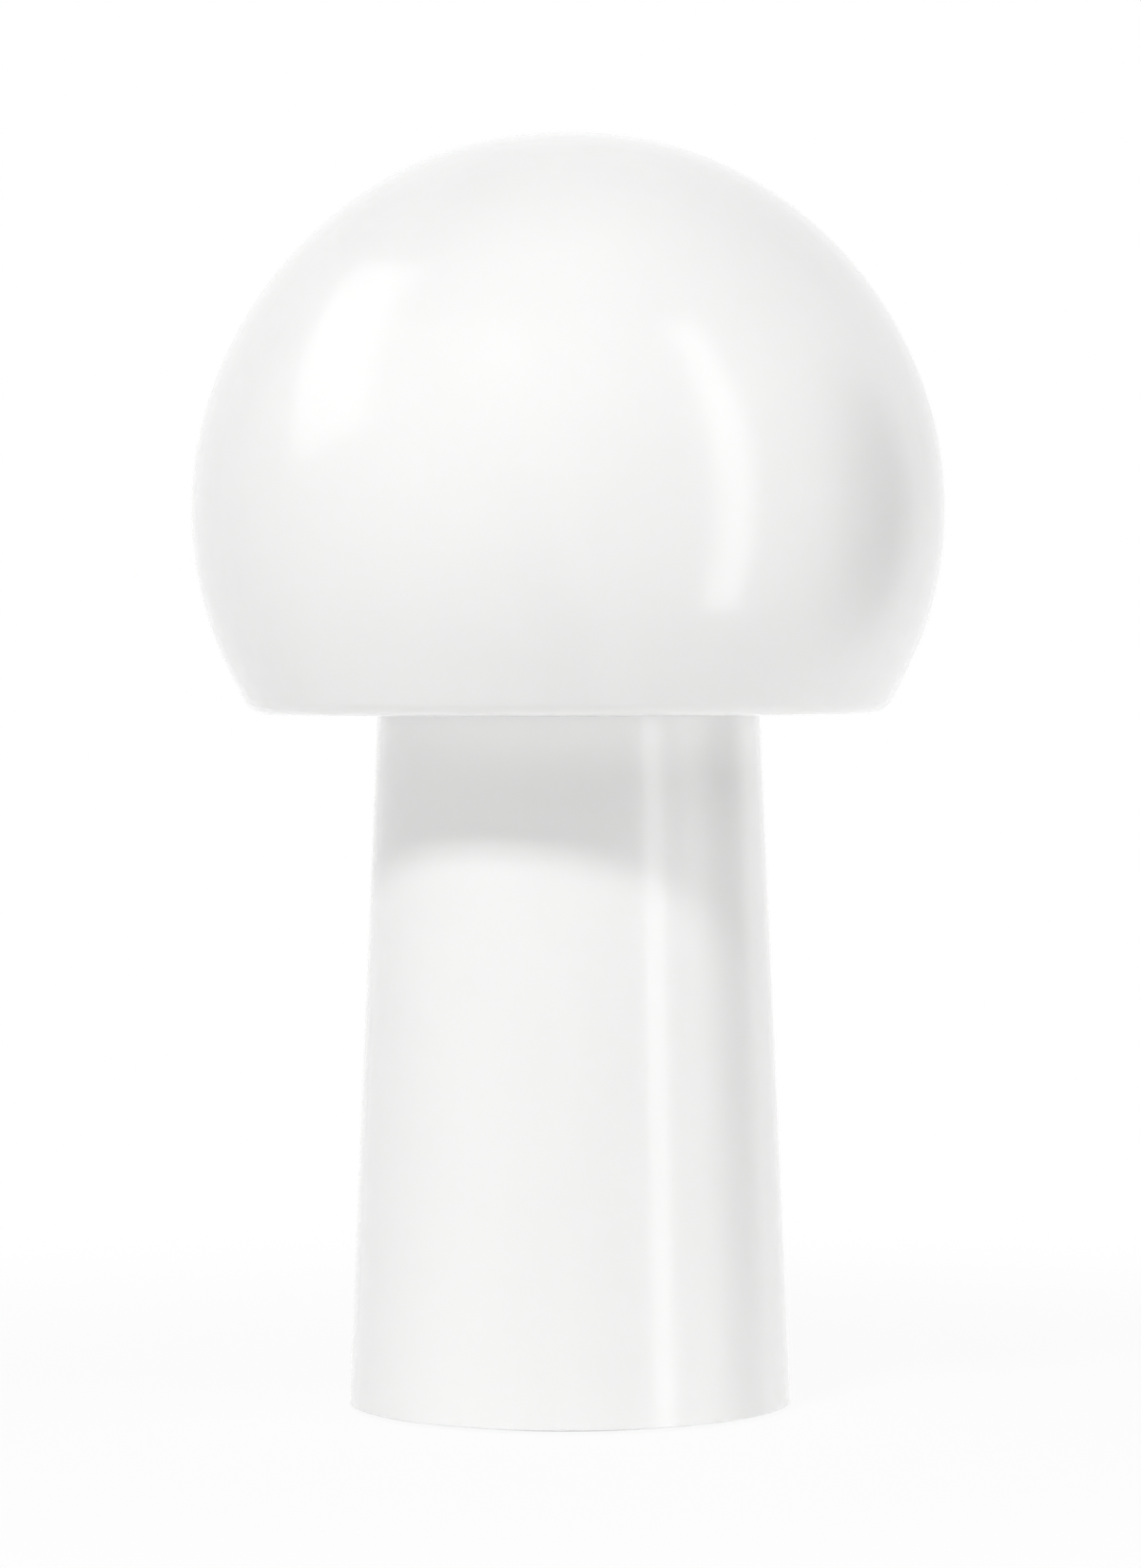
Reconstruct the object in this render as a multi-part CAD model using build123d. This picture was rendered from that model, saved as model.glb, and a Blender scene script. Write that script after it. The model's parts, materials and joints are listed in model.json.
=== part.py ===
"""Mushroom table lamp: an opal glass dome standing by its neck in a spring gallery on a conical glass foot.

Frame: millimetres, +Z up, origin on the table under the middle of the foot. The front of the lamp faces -Y
and the cord outlet faces +Y. Every piece is one node, and a group of like fasteners is one node of several
separate solids.
"""

from build123d import *

import os
from math import asin, cos, degrees, pi, radians, sin, sqrt, tan

# ------------------------------------------------------------------ driving sizes, in mm
# Dome shade: a globe cut by a flat floor, with a short beaded neck turned down from the floor
shade_dia = 200.0
shade_height = 154.3
shade_wall = 3.0
shade_corner = 7.0
neck_length = 13.0
neck_root = 2.0
bead_proud = 0.8
bead_height = 4.0
bead_round = 0.9

# Conical glass foot with a seat bevelled in its mouth
foot_dia = 117.7
head_dia = 101.7
foot_height = 182.7
foot_wall = 4.0
head_land = 1.4
edge_polish = 0.5

# Gaps and clearances
joint_gap = 0.4
felt_drop = 1.0
running_gap = 0.35
seat_gap = 0.1
hole_play = 0.15

# Spring gallery: a spun cup that hangs by its flare on the bevel of the foot
cup_wall = 0.8
cup_gap = 2.4
cup_corner = 2.5
bead_clearance = 1.3
flare_gasket_thick = 0.6
land_rise = 1.2
land_dia = 46.0
finger_count = 3
finger_width = 13.0
finger_slot = 1.2
cushion_thick = 2.0
cushion_width = 4.0

# Clamping stack on the hollow stem
stem_dia = 10.0
stem_wall = 1.5
stem_tail = 2.5
stem_engagement = 9.0
nut_wall = 2.0
nut_height = 5.0
jam_nut_height = 3.5
spacer_wall = 2.85
lock_washer_width = 3.0
lock_washer_thick = 0.8
lock_washer_teeth = 10
tooth_gap = 1.6
seat_washer_width = 7.0
seat_washer_thick = 1.0
earth_tag_thick = 0.8
earth_tag_gap = 3.0
earth_barrel_length = 5.0

# Clamp plate wedged in the cone, with its rubber edge and the cast ballast
plate_thick = 2.0
plate_rim = 7.0
plate_rim_wall = 1.5
edge_ring_thick = 2.0
ballast_margin = 8.0
ballast_thick = 12.0
ballast_chamfer = 1.5
screw_pocket_depth = 2.0

# Foot cover, its pillars and screws, and the felt
service_height = 16.3
felt_thick = 1.2
felt_width = 17.0
felt_inset = 1.9
cover_thick = 2.5
cover_play = 1.0
cover_chamfer = 0.8
cover_skirt = 4.0
cover_skirt_wall = 1.6
notch_play = 2.0
pillar_wall = 1.5
pillar_circle = 46.0
pillar_count = 3
pillar_rivet_lip = 0.6
pillar_rivet_height = 0.8
screw_dia = 3.0
cover_screw_head = 5.6
cover_screw_length = 8.0
recess_width = 0.8
recess_depth = 1.0

# Cord outlet at the back of the foot, and the cord clamp under the plate
cord_dia = 6.4
gland_wall = 1.85
gland_flange_width = 1.8
gland_flange_thick = 2.2
gland_length = 14.0
gland_nut_wall = 1.3
gland_nut_thick = 3.0
clamp_bar_length = 24.0
clamp_bar_width = 7.0
clamp_bar_thick = 2.5
clamp_gap = 6.9
clamp_bite = 0.6
pan_head_width = 1.25
pan_head_height = 1.8
slot_width = 0.8

# Terminal block under the plate, and the inner leads
pole_pitch = 8.0
block_width = 14.0
block_height = 9.0
block_margin = 13.0
wire_way_dia = 3.4
terminal_screw_dia = 2.6
terminal_screw_sink = 0.6
lead_dia = 2.2
lead_spread = 1.4
lead_bend = 2.6
lead_tail = 4.0

# Lampholder for a 27 mm Edison cap
thread_major = 26.4
holder_dia = 40.0
holder_wall = 2.4
holder_cap_height = 18.0
holder_shell_height = 32.0
holder_lap = 5.0
hub_wall = 3.5
mouth_play = 0.8
insert_flange = 4.0
insert_height = 12.0
ledge_width = 1.4
shell_thread_play = 0.3
screw_shell_wall = 0.5
screw_shell_height = 19.0
screw_shell_foot = 3.0
rivet_dia = 1.6
rivet_length = 4.0
tongue_width = 6.0
tongue_thick = 0.6
tongue_recess = 1.6
contact_screw_dia = 2.5
contact_screw_length = 5.0

# Globe bulb
bulb_dia = 45.0
bulb_length = 75.0
bulb_wall = 1.0
bulb_flank = 14.0
bulb_cement = 0.3
bulb_cap_height = 22.0
bulb_cap_wall = 0.4
bulb_cap_taper = 3.0
bulb_neck_depth = 9.0
insulator_height = 3.2
contact_height = 1.6
contact_dia = 9.0
contact_lift = 1.2


# ------------------------------------------------------------------ drawing helpers
def path(*points):
    """Straight edges through (radius, height) points of the XZ half plane."""
    return [Line((a[0], 0, a[1]), (b[0], 0, b[1])) for a, b in zip(points, points[1:])]


def arc(centre, radius, start, end):
    """An arc in the XZ plane, between two angles in degrees measured from +X towards +Z."""
    angles = [radians(a) for a in (start, (start + end) / 2, end)]
    return ThreePointArc(*[(centre[0] + radius * cos(a), 0, centre[1] + radius * sin(a)) for a in angles])


def turned(edges, angle=360.0):
    """The solid turned about Z from a closed loop of edges, through the whole circle or a part of it."""
    return revolve(Face(Wire(edges)), Axis.Z, angle)


def ring(*corners):
    """The solid turned about Z from a closed polygon of (radius, height) corners."""
    return turned(path(*corners, corners[0]))


def tube(inner, outer, z0, z1):
    """A plain tube or washer about Z."""
    return ring((inner, z0), (outer, z0), (outer, z1), (inner, z1))


def bar(radius, z0, z1, x=0.0, y=0.0):
    """A plain round bar along Z."""
    return Pos(x, y, z0) * Cylinder(radius, z1 - z0, align=(Align.CENTER, Align.CENTER, Align.MIN))


def block(length, width, z0, z1, x=0.0, y=0.0):
    """A plain box between two heights."""
    return Pos(x, y, z0) * Box(length, width, z1 - z0, align=(Align.CENTER, Align.CENTER, Align.MIN))


def hexagon(flats, z0, z1):
    """A hexagonal prism about Z, by its size across flats."""
    return Pos(0, 0, z0) * extrude(RegularPolygon(flats / 2, 6, major_radius=False), z1 - z0)


def around(count, circle_dia, piece):
    """Copies of a piece, evenly spaced on a circle, each turned to face outwards."""
    return [Rot(0, 0, i * 360 / count) * Pos(circle_dia / 2, 0, 0) * piece for i in range(count)]


def group(pieces):
    """Several separate solids as one node."""
    return Compound(children=[solid for piece in pieces for solid in piece.solids()])


def pan_screw(x, y, head_bottom, tip, dia):
    """A slotted pan head screw that points up, its head below."""
    head_top = head_bottom + pan_head_height
    radius = dia / 2 + pan_head_width
    head = bar(radius, head_bottom, head_top, x, y)
    head = chamfer(head.edges().group_by(Axis.Z)[0], pan_head_height / 3)
    slot = block(2 * radius + 1, slot_width, head_bottom - 1, head_bottom + recess_depth, x, y)
    return head + bar(dia / 2 - seat_gap, head_top, tip, x, y) - slot


# ------------------------------------------------------------------ heights, from the table up
cover_top = felt_thick + cover_thick
plate_level = cover_top + service_height
plate_top = plate_level + plate_thick
ballast_top = plate_top + ballast_thick
outlet_level = cover_top + service_height / 2
glass_bottom = felt_drop
glass_top = glass_bottom + foot_height
head_bevel = foot_wall - edge_polish - head_land
bevel_bottom = glass_top - head_bevel
shade_floor = glass_top + joint_gap
globe_centre = shade_floor + shade_height - shade_dia / 2
neck_end = shade_floor - neck_length
bead_top = neck_end + bead_height
cushion_top = neck_end - running_gap
cup_floor = cushion_top - cushion_thick
cup_under = cup_floor - cup_wall
land_top = cup_floor + land_rise
land_under = land_top - cup_wall
top_washer_bottom = land_top + seat_washer_thick
jam_nut_bottom = top_washer_bottom + lock_washer_thick
holder_bottom = jam_nut_bottom + jam_nut_height + seat_gap
washer_bottom = plate_level - lock_washer_thick
tag_bottom = washer_bottom - earth_tag_thick
nut_bottom = tag_bottom - nut_height
stem_bottom = nut_bottom - stem_tail
stem_top = holder_bottom + stem_engagement
shell_bottom = holder_bottom + holder_cap_height
insert_step = shell_bottom + holder_lap + seat_gap
insert_bottom = insert_step - insert_flange
insert_top = insert_bottom + insert_height
bulb_bottom = insert_top + contact_lift
cap_bottom = bulb_bottom + contact_height + insulator_height
cap_top = cap_bottom + bulb_cap_height


# ------------------------------------------------------------------ radii that several pieces share
def foot_outer(z):
    """Outer radius of the glass foot at a height."""
    return foot_dia / 2 - (foot_dia - head_dia) / 2 * (z - glass_bottom) / foot_height


def foot_inner(z):
    """Inner radius of the glass foot at a height."""
    return foot_outer(z) - foot_wall


mouth_radius = foot_inner(bevel_bottom)
cup_outer = mouth_radius - cup_gap
cup_inner = cup_outer - cup_wall
bead_radius = cup_inner - bead_clearance
neck_radius = bead_radius - bead_proud
stem_radius = stem_dia / 2
stem_hole = stem_radius + hole_play
plate_radius = foot_inner(plate_level + plate_rim) - edge_ring_thick - 2 * seat_gap
cover_radius = foot_inner(glass_bottom) - cover_play
pillar_flats = screw_dia + 2 * pillar_wall
gland_radius = cord_dia / 2 + hole_play + gland_wall
gland_nut_flats = 2 * (gland_radius + gland_nut_wall)
block_length = 3 * pole_pitch
block_place = plate_radius - plate_rim_wall - block_margin - block_width / 2
earth_tag_reach = block_place - block_width / 2 - earth_tag_gap - earth_barrel_length
clamp_place = foot_outer(outlet_level) - gland_length - clamp_gap - clamp_bar_width / 2
shell_radius = thread_major / 2 + shell_thread_play + screw_shell_wall
holder_radius = holder_dia / 2
insert_radius = holder_radius - holder_wall - 2 * seat_gap


# ------------------------------------------------------------------ shade
def globe_corner(radius, floor, corner):
    """Centre of the corner between the globe and the floor, and the angle where it leaves the globe."""
    height, reach = floor + corner - globe_centre, radius - corner
    return (sqrt(reach**2 - height**2), floor + corner), degrees(asin(height / reach))


def shade_glass():
    """Blown dome of even wall, its flat floor and the beaded neck turned down from it, in one section."""
    outer_radius, inner_radius = shade_dia / 2, shade_dia / 2 - shade_wall
    inner_floor, inner_corner = shade_floor + shade_wall, shade_corner - shade_wall
    outer, outer_angle = globe_corner(outer_radius, shade_floor, shade_corner)
    inner, inner_angle = globe_corner(inner_radius, inner_floor, inner_corner)
    root = (neck_radius + neck_root, shade_floor - neck_root)
    bore = neck_radius - shade_wall
    axis = (0, globe_centre)
    edges = [
        arc(axis, outer_radius, 90, outer_angle),
        arc(outer, shade_corner, outer_angle, -90),
        *path((outer[0], shade_floor), (root[0], shade_floor)),
        arc(root, neck_root, 90, 180),
        *path((neck_radius, root[1]), (neck_radius, bead_top), (bead_radius, bead_top - bead_proud),
              (bead_radius, neck_end + bead_round)),
        arc((bead_radius - bead_round, neck_end + bead_round), bead_round, 0, -90),
        *path((bead_radius - bead_round, neck_end), (bore + bead_round, neck_end)),
        arc((bore + bead_round, neck_end + bead_round), bead_round, -90, -180),
        *path((bore, neck_end + bead_round), (bore, root[1])),
        arc(root, neck_root + shade_wall, 180, 90),
        *path((root[0], inner_floor), (inner[0], inner_floor)),
        arc(inner, inner_corner, -90, inner_angle),
        arc(axis, inner_radius, inner_angle, 90),
        *path((0, globe_centre + inner_radius), (0, globe_centre + outer_radius)),
    ]
    return turned(edges)


# ------------------------------------------------------------------ glass foot and spring gallery
def base_glass():
    """Conical glass foot with ground ends, a seat bevelled in its mouth and the drilled cord outlet."""
    low, high = glass_bottom + edge_polish, glass_top - edge_polish
    cone = ring(
        (foot_outer(glass_bottom) - edge_polish, glass_bottom),
        (foot_outer(low), low),
        (foot_outer(high), high),
        (foot_outer(glass_top) - edge_polish, glass_top),
        (mouth_radius + head_bevel, glass_top),
        (mouth_radius, bevel_bottom),
        (foot_inner(low), low),
        (foot_inner(glass_bottom) + edge_polish, glass_bottom),
    )
    return cone - outlet_bar(gland_radius + hole_play, foot_inner(outlet_level) / 2, foot_dia)


def bevel_line(depth):
    """The lower and upper end of a line that runs along the bevel of the foot, that far in front of it."""
    shift = depth * sqrt(2)
    return (mouth_radius - shift, bevel_bottom), (mouth_radius + head_bevel - shift, glass_top)


def gallery_gasket():
    """Thin silicone ring between the bevel of the glass and the flare of the cup."""
    back_low, back_top = bevel_line(seat_gap)
    front_low, front_top = bevel_line(seat_gap + flare_gasket_thick)
    return ring(back_low, back_top, front_top, front_low)


def cup_flare():
    """Corner points of the flare: where its outer face meets the wall and ends, then its inner face."""
    back_low, back_top = bevel_line(2 * seat_gap + flare_gasket_thick)
    front_low, front_top = bevel_line(2 * seat_gap + flare_gasket_thick + cup_wall)
    wall_outer = (cup_outer, back_low[1] - (back_low[0] - cup_outer))
    wall_inner = (cup_inner, front_low[1] - (front_low[0] - cup_inner))
    return wall_outer, back_top, front_top, wall_inner


def gallery_cup():
    """Spun steel cup: a flare on the bevel, a wall with spring fingers, and a floor with a raised land."""
    wall_outer, back_top, front_top, wall_inner = cup_flare()
    land = land_dia / 2
    corner = (cup_inner - cup_corner, cup_floor + cup_corner)
    edges = [
        *path((stem_hole, land_top), (land, land_top), (land + land_rise, cup_floor)),
        *path((land + land_rise, cup_floor), (corner[0], cup_floor)),
        arc(corner, cup_corner, -90, 0),
        *path((cup_inner, corner[1]), wall_inner, front_top, back_top, wall_outer, (cup_outer, corner[1])),
        arc(corner, cup_corner + cup_wall, 0, -90),
        *path((corner[0], cup_under), (land + land_rise, cup_under), (land, land_under)),
        *path((land, land_under), (stem_hole, land_under), (stem_hole, land_top)),
    ]
    windows, fingers = [around(finger_count, 0, piece) for piece in (finger_window(), spring_finger())]
    return turned(edges) - windows + fingers


def finger_span():
    """Heights of the root of a spring finger and of the top of the window round it."""
    return cup_floor + cup_corner, cup_flare()[0][1] - cup_wall


def centred_sector(edges, width):
    """A section turned about Z only as far as a width at the cup wall, centred on +X."""
    angle = degrees(width / cup_inner)
    return Rot(0, 0, -angle / 2) * turned(edges, angle)


def finger_window():
    """Opening lanced in the cup wall, a slot wider than the finger at both sides and above its tip."""
    low, high = finger_span()
    inner, outer = cup_inner - cup_wall, cup_outer + cup_wall
    edges = path((inner, low), (outer, low), (outer, high), (inner, high), (inner, low))
    return centred_sector(edges, finger_width + 2 * finger_slot)


def spring_finger():
    """Leaf bowed inwards until its crest clears the bead of the neck by the running gap."""
    low, high = finger_span()
    tip = high - finger_slot
    crest, middle = bead_radius + running_gap, (low + tip) / 2
    edges = [
        ThreePointArc((cup_inner, 0, low), (crest, 0, middle), (cup_inner, 0, tip)),
        *path((cup_inner, tip), (cup_outer, tip)),
        ThreePointArc((cup_outer, 0, tip), (crest + cup_wall, 0, middle), (cup_outer, 0, low)),
        *path((cup_outer, low), (cup_inner, low)),
    ]
    return centred_sector(edges, finger_width)


def shade_cushion():
    """Silicone ring on the floor of the cup, under the end of the neck."""
    middle = (bead_radius + neck_radius - shade_wall) / 2
    outer = min(middle + cushion_width / 2, cup_inner - cup_corner)
    return tube(outer - cushion_width, outer, cup_floor, cushion_top)


# ------------------------------------------------------------------ stem and clamping stack
def nut(height):
    """Hexagon nut for the stem, standing on z = 0, with chamfered corners."""
    flats = 2 * (stem_radius + nut_wall)
    corner = flats / 2 / cos(pi / 6)
    rise = (corner - flats / 2) * tan(radians(30))
    turning = ring((0, 0), (flats / 2, 0), (corner, rise), (corner, height - rise), (flats / 2, height),
                   (0, height))
    return (hexagon(flats, 0, height) & turning) - bar(stem_radius + seat_gap, -1, height + 1)


def lock_washer():
    """Toothed lock washer for the stem, standing on z = 0."""
    outer = stem_hole + lock_washer_width
    notch = block(lock_washer_width, tooth_gap, -1, lock_washer_thick + 1)
    return tube(stem_hole, outer, 0, lock_washer_thick) - around(lock_washer_teeth, 2 * outer, notch)


def earth_tag():
    """Ring tag under the plate, its arm bent down to a barrel that takes the earth lead."""
    low, high = tag_bottom, tag_bottom + earth_tag_thick
    barrel_radius = lead_dia / 2 + seat_gap + earth_tag_thick
    z = block_middle()[2]
    start = -earth_tag_reach - earth_barrel_length
    eye = bar(stem_hole + lock_washer_width, low, high)
    arm = block(earth_tag_reach, 2 * barrel_radius, low, high, -earth_tag_reach / 2)
    drop = block(earth_tag_thick, 2 * barrel_radius, z - barrel_radius, high,
                 -earth_tag_reach + earth_tag_thick / 2)
    barrel = Pos(start, 0, z) * Rot(0, 90, 0) * bar(barrel_radius, 0, earth_barrel_length)
    bore = Pos(start, 0, z) * Rot(0, 90, 0) * bar(lead_dia / 2 + seat_gap, -1, earth_barrel_length + 2)
    return eye + arm + drop + barrel - bore - bar(stem_hole, low - 1, high + 1)


def clamp_plate():
    """Pressed steel dish wedged in the foot: flat floor, turned-up rim and tapped holes for the screws."""
    rim_inner, rim_top = plate_radius - plate_rim_wall, plate_level + plate_rim
    dish = ring(
        (stem_hole, plate_level), (rim_inner, plate_level), (plate_radius, plate_level + plate_rim_wall),
        (plate_radius, rim_top), (rim_inner, rim_top), (rim_inner, plate_top), (stem_hole, plate_top),
    )
    return dish - plate_drill(screw_dia / 2, plate_level - 1, plate_top + 1)


def plate_drill(radius, z0, z1):
    """Round bars at every screw that enters the plate from below."""
    tapped = [bar(radius, z0, z1, x, y) for x, y in (*clamp_screw_places(), *block_screw_places())]
    return tapped + around(pillar_count, pillar_circle, bar(radius, z0, z1))


def edge_ring():
    """Rubber band round the rim of the clamp plate, tapered to the inside of the glass."""
    low, high = plate_level + plate_rim_wall, plate_level + plate_rim
    inner = plate_radius + seat_gap
    outer_low, outer_high = foot_inner(low) - seat_gap, foot_inner(high) - seat_gap
    return ring((inner, low), (outer_low, low), (outer_high, high), (inner, high))


def ballast_disc():
    """Cast disc on the clamp plate, with pockets over the screw tips."""
    rim, c = plate_radius - plate_rim_wall - ballast_margin, ballast_chamfer
    disc = ring((stem_hole, plate_top), (rim - c, plate_top), (rim, plate_top + c), (rim, ballast_top - c),
                (rim - c, ballast_top), (stem_hole, ballast_top))
    return disc - plate_drill(screw_dia, plate_top - 1, plate_top + screw_pocket_depth)


# ------------------------------------------------------------------ foot cover
def cover_screw():
    """Countersunk screw, its head flush with the underside of the cover, with a cross recess."""
    head, shank, low = cover_screw_head / 2, screw_dia / 2 - seat_gap, felt_thick
    arm = cover_screw_head / 2
    screw = ring((0, low), (head, low), (shank, low + head - shank), (shank, low + cover_screw_length),
                 (0, low + cover_screw_length))
    depth = low + recess_depth
    return screw - block(arm, recess_width, 0, depth) - block(recess_width, arm, 0, depth)


def foot_cover():
    """Moulded cover that closes the foot: a low skirt, countersunk holes and a notch at the cord outlet."""
    rim, low, top = cover_radius, felt_thick, cover_top + cover_skirt
    shell = ring(
        (0, low), (rim - cover_chamfer, low), (rim, low + cover_chamfer), (rim, top),
        (rim - cover_skirt_wall, top), (rim - cover_skirt_wall, cover_top), (0, cover_top),
    )
    head, shank = cover_screw_head / 2 + seat_gap, screw_dia / 2 + seat_gap
    hole = ring((0, low - 1), (head, low - 1), (head, low), (shank, low + head - shank),
                (shank, cover_top + 1), (0, cover_top + 1))
    corner = gland_nut_flats / 2 / cos(pi / 6)
    notch = block(2 * (corner + notch_play), 4 * cover_skirt_wall, cover_top, top + 1, 0, rim)
    return shell - around(pillar_count, pillar_circle, hole) - notch


def cover_pillars():
    """Hexagon pillars riveted into the clamp plate, bored from below for the cover screws."""
    spigot, head = screw_dia / 2 - seat_gap, screw_dia / 2 + pillar_rivet_lip
    pillar = hexagon(pillar_flats, cover_top, plate_level)
    pillar += bar(spigot, plate_level, plate_top) + bar(head, plate_top, plate_top + pillar_rivet_height)
    pillar -= bar(screw_dia / 2, cover_top - 1, felt_thick + cover_screw_length + pillar_wall)
    return group(around(pillar_count, pillar_circle, pillar))


def felt_ring():
    """Felt ring under the cover, on which the lamp stands."""
    outer = cover_radius - felt_inset
    return tube(outer - felt_width, outer, 0, felt_thick)


# ------------------------------------------------------------------ cord outlet and clamp
def outlet_bar(radius, y0, y1):
    """A round bar along the cord outlet, between two distances from the middle of the lamp."""
    return Pos(0, y0, outlet_level) * Rot(-90, 0, 0) * bar(radius, 0, y1 - y0)


def cord_gland():
    """Moulded gland: a flange shaped to the cone outside, a barrel through the glass and the cord bore."""
    wall = foot_outer(outlet_level)
    head = wall + gland_flange_thick
    flange = outlet_bar(gland_radius + gland_flange_width, wall - gland_flange_thick, head)
    flange = chamfer(flange.edges().filter_by(GeomType.CIRCLE).sort_by(Axis.Y)[-1], gland_flange_thick / 3)
    low, high = foot_outer(0) + seat_gap, foot_outer(glass_top) + seat_gap
    glass = ring((0, 0), (low, 0), (high, glass_top), (0, glass_top))
    barrel = outlet_bar(gland_radius, wall - gland_length, head)
    return barrel + (flange - glass) - outlet_bar(cord_dia / 2 + hole_play, 0, foot_dia)


def gland_nut():
    """Hexagon nut that draws the gland against the inside of the glass."""
    corner = gland_nut_flats / 2 / cos(pi / 6)
    face = sqrt(foot_inner(outlet_level + corner) ** 2 - corner**2) - seat_gap
    blank = Rot(-90, 0, 0) * hexagon(gland_nut_flats, 0, gland_nut_thick)
    blank = Pos(0, face - gland_nut_thick, outlet_level) * blank
    return blank - outlet_bar(gland_radius + seat_gap, 0, foot_dia)


def clamp_screw_places():
    """Where the two screws of the cord clamp stand, near the ends of its bar."""
    reach = clamp_bar_length / 2 - screw_dia / 2 - pan_head_width
    return [(-reach, clamp_place), (reach, clamp_place)]


def cord_clamp_bar():
    """Bar that grips the cord against the plate, with a shallow saddle across its middle."""
    top = plate_level - cord_dia + clamp_bite
    low = top - clamp_bar_thick
    body = block(clamp_bar_length, clamp_bar_width, low, top, 0, clamp_place)
    body = fillet(body.edges().filter_by(Axis.Z), clamp_bar_width / 3)
    saddle = Pos(0, 0, plate_level - cord_dia / 2) * Rot(-90, 0, 0) * bar(cord_dia / 2, 0, foot_dia)
    holes = [bar(screw_dia / 2 + seat_gap, 0, plate_level, x, y) for x, y in clamp_screw_places()]
    return body - saddle - holes


def cord_clamp_screws():
    """Pan head screws from under the bar into the plate."""
    head = plate_level - cord_dia + clamp_bite - clamp_bar_thick - pan_head_height
    return group([pan_screw(x, y, head, plate_top, screw_dia) for x, y in clamp_screw_places()])


# ------------------------------------------------------------------ terminal block and leads
def block_middle():
    """Centre of the terminal block, hung against the underside of the plate."""
    return -block_place, 0.0, plate_level - block_height / 2


def block_screw_places():
    """Where the fixing screws of the terminal block stand, between its poles."""
    return [(-block_place, -pole_pitch / 2), (-block_place, pole_pitch / 2)]


def terminal_places():
    """Where the six terminal screws stand, two to a pole."""
    return [(-block_place + side * block_width / 3, pole * pole_pitch)
            for pole in (-1, 0, 1) for side in (-1, 1)]


def terminal_block():
    """Three-pole block with wire ways through it, screw wells from below and two fixing holes."""
    x, y, z = block_middle()
    low = z - block_height / 2
    body = block(block_width, block_length, low, plate_level, x, y)
    body = chamfer(body.edges().filter_by(Axis.Z), terminal_screw_sink)
    way = Rot(0, 90, 0) * bar(wire_way_dia / 2, 0, 2 * block_width)
    ways = [Pos(x - block_width, pole * pole_pitch, z) * way for pole in (-1, 0, 1)]
    wells = [bar(terminal_screw_dia / 2 + seat_gap, low - 1, z, *place) for place in terminal_places()]
    fixing = screw_dia / 2 + seat_gap
    fixings = [bar(fixing, low - 1, plate_level + 1, *place) for place in block_screw_places()]
    return body - ways - wells - fixings


def block_screws():
    """Pan head screws that hold the terminal block to the plate."""
    head = plate_level - block_height - pan_head_height
    return group([pan_screw(x, y, head, plate_top, screw_dia) for x, y in block_screw_places()])


def terminal_screws():
    """Slotted screws in the wells of the block, stopping at the wire ways."""
    z = block_middle()[2]
    low, high = z - block_height / 2 + terminal_screw_sink, z - lead_dia / 2 - seat_gap
    screws = [bar(terminal_screw_dia / 2, low, high, x, y)
              - block(terminal_screw_dia + 1, slot_width, low - 1, low + recess_depth, x, y)
              for x, y in terminal_places()]
    return group(screws)


def stem_lead(pole):
    """Lead from an outer pole of the block, round the end of the stem and up its bore to the insert."""
    x, y, z = block_middle()
    turn_x = x + block_width / 2 + lead_tail
    low = stem_bottom - 2 * lead_dia
    points = [
        (x + block_width / 2 - lead_tail, pole * pole_pitch, z),
        (turn_x, pole * pole_pitch, z),
        (turn_x + lead_bend, pole * pole_pitch, low),
        (0, pole * lead_spread, low),
        (0, pole * lead_spread, insert_bottom + lead_tail),
    ]
    spine = FilletPolyline(*points, radius=lead_bend)
    return sweep(Plane(origin=points[0], z_dir=(1, 0, 0)) * Circle(lead_dia / 2), path=spine)


def earth_lead():
    """Short straight lead from the middle pole to the barrel of the earth tag."""
    x, y, z = block_middle()
    start, end = x + block_width / 2 - lead_tail, -earth_tag_reach - seat_gap
    return Pos(start, 0, z) * Rot(0, 90, 0) * bar(lead_dia / 2, 0, end - start)


# ------------------------------------------------------------------ lampholder
def lampholder_cap():
    """Lower half of the lampholder: hub on the stem, coned floor, ledge and spigot."""
    rim, wall, hub = holder_radius, holder_wall, stem_hole + hub_wall
    shoulder = holder_bottom + (rim - hub) / 2
    spigot = rim - wall / 2 - seat_gap
    bore, lap_top = stem_radius + seat_gap, shell_bottom + holder_lap
    ledge, ledge_top = insert_radius - ledge_width, insert_bottom - seat_gap
    return ring(
        (bore, holder_bottom), (hub, holder_bottom), (rim, shoulder), (rim, shell_bottom),
        (spigot, shell_bottom), (spigot, lap_top), (rim - wall, lap_top), (rim - wall, ledge_top),
        (ledge, ledge_top), (ledge, shoulder + wall), (hub, stem_top), (bore, stem_top),
    )


def lampholder_insert():
    """Porcelain insert: a flange in the cap, a boss under the screw shell and a contact recess."""
    body = ring((0, insert_bottom), (insert_radius, insert_bottom), (insert_radius, insert_step),
                (shell_radius, insert_step), (shell_radius, insert_top), (0, insert_top))
    ways = [bar(lead_dia / 2 + seat_gap, insert_bottom - 1, insert_bottom + lead_tail + seat_gap, 0,
                pole * lead_spread) for pole in (-1, 1)]
    floor, play = insert_top - tongue_recess, 2 * seat_gap
    recess = block(tongue_width + 2 * play, 2 * (tongue_reach() + play), floor, insert_top + 1)
    screw = bar(contact_screw_dia / 2, floor - contact_screw_length, insert_top, 0, -contact_screw_place())
    rivet = bar(rivet_dia / 2, insert_top - rivet_length - seat_gap, insert_top + 1)
    rivets = [Pos(side * rivet_place(), 0, 0) * rivet for side in (-1, 1)]
    return body - ways - recess - screw - rivets


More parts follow.
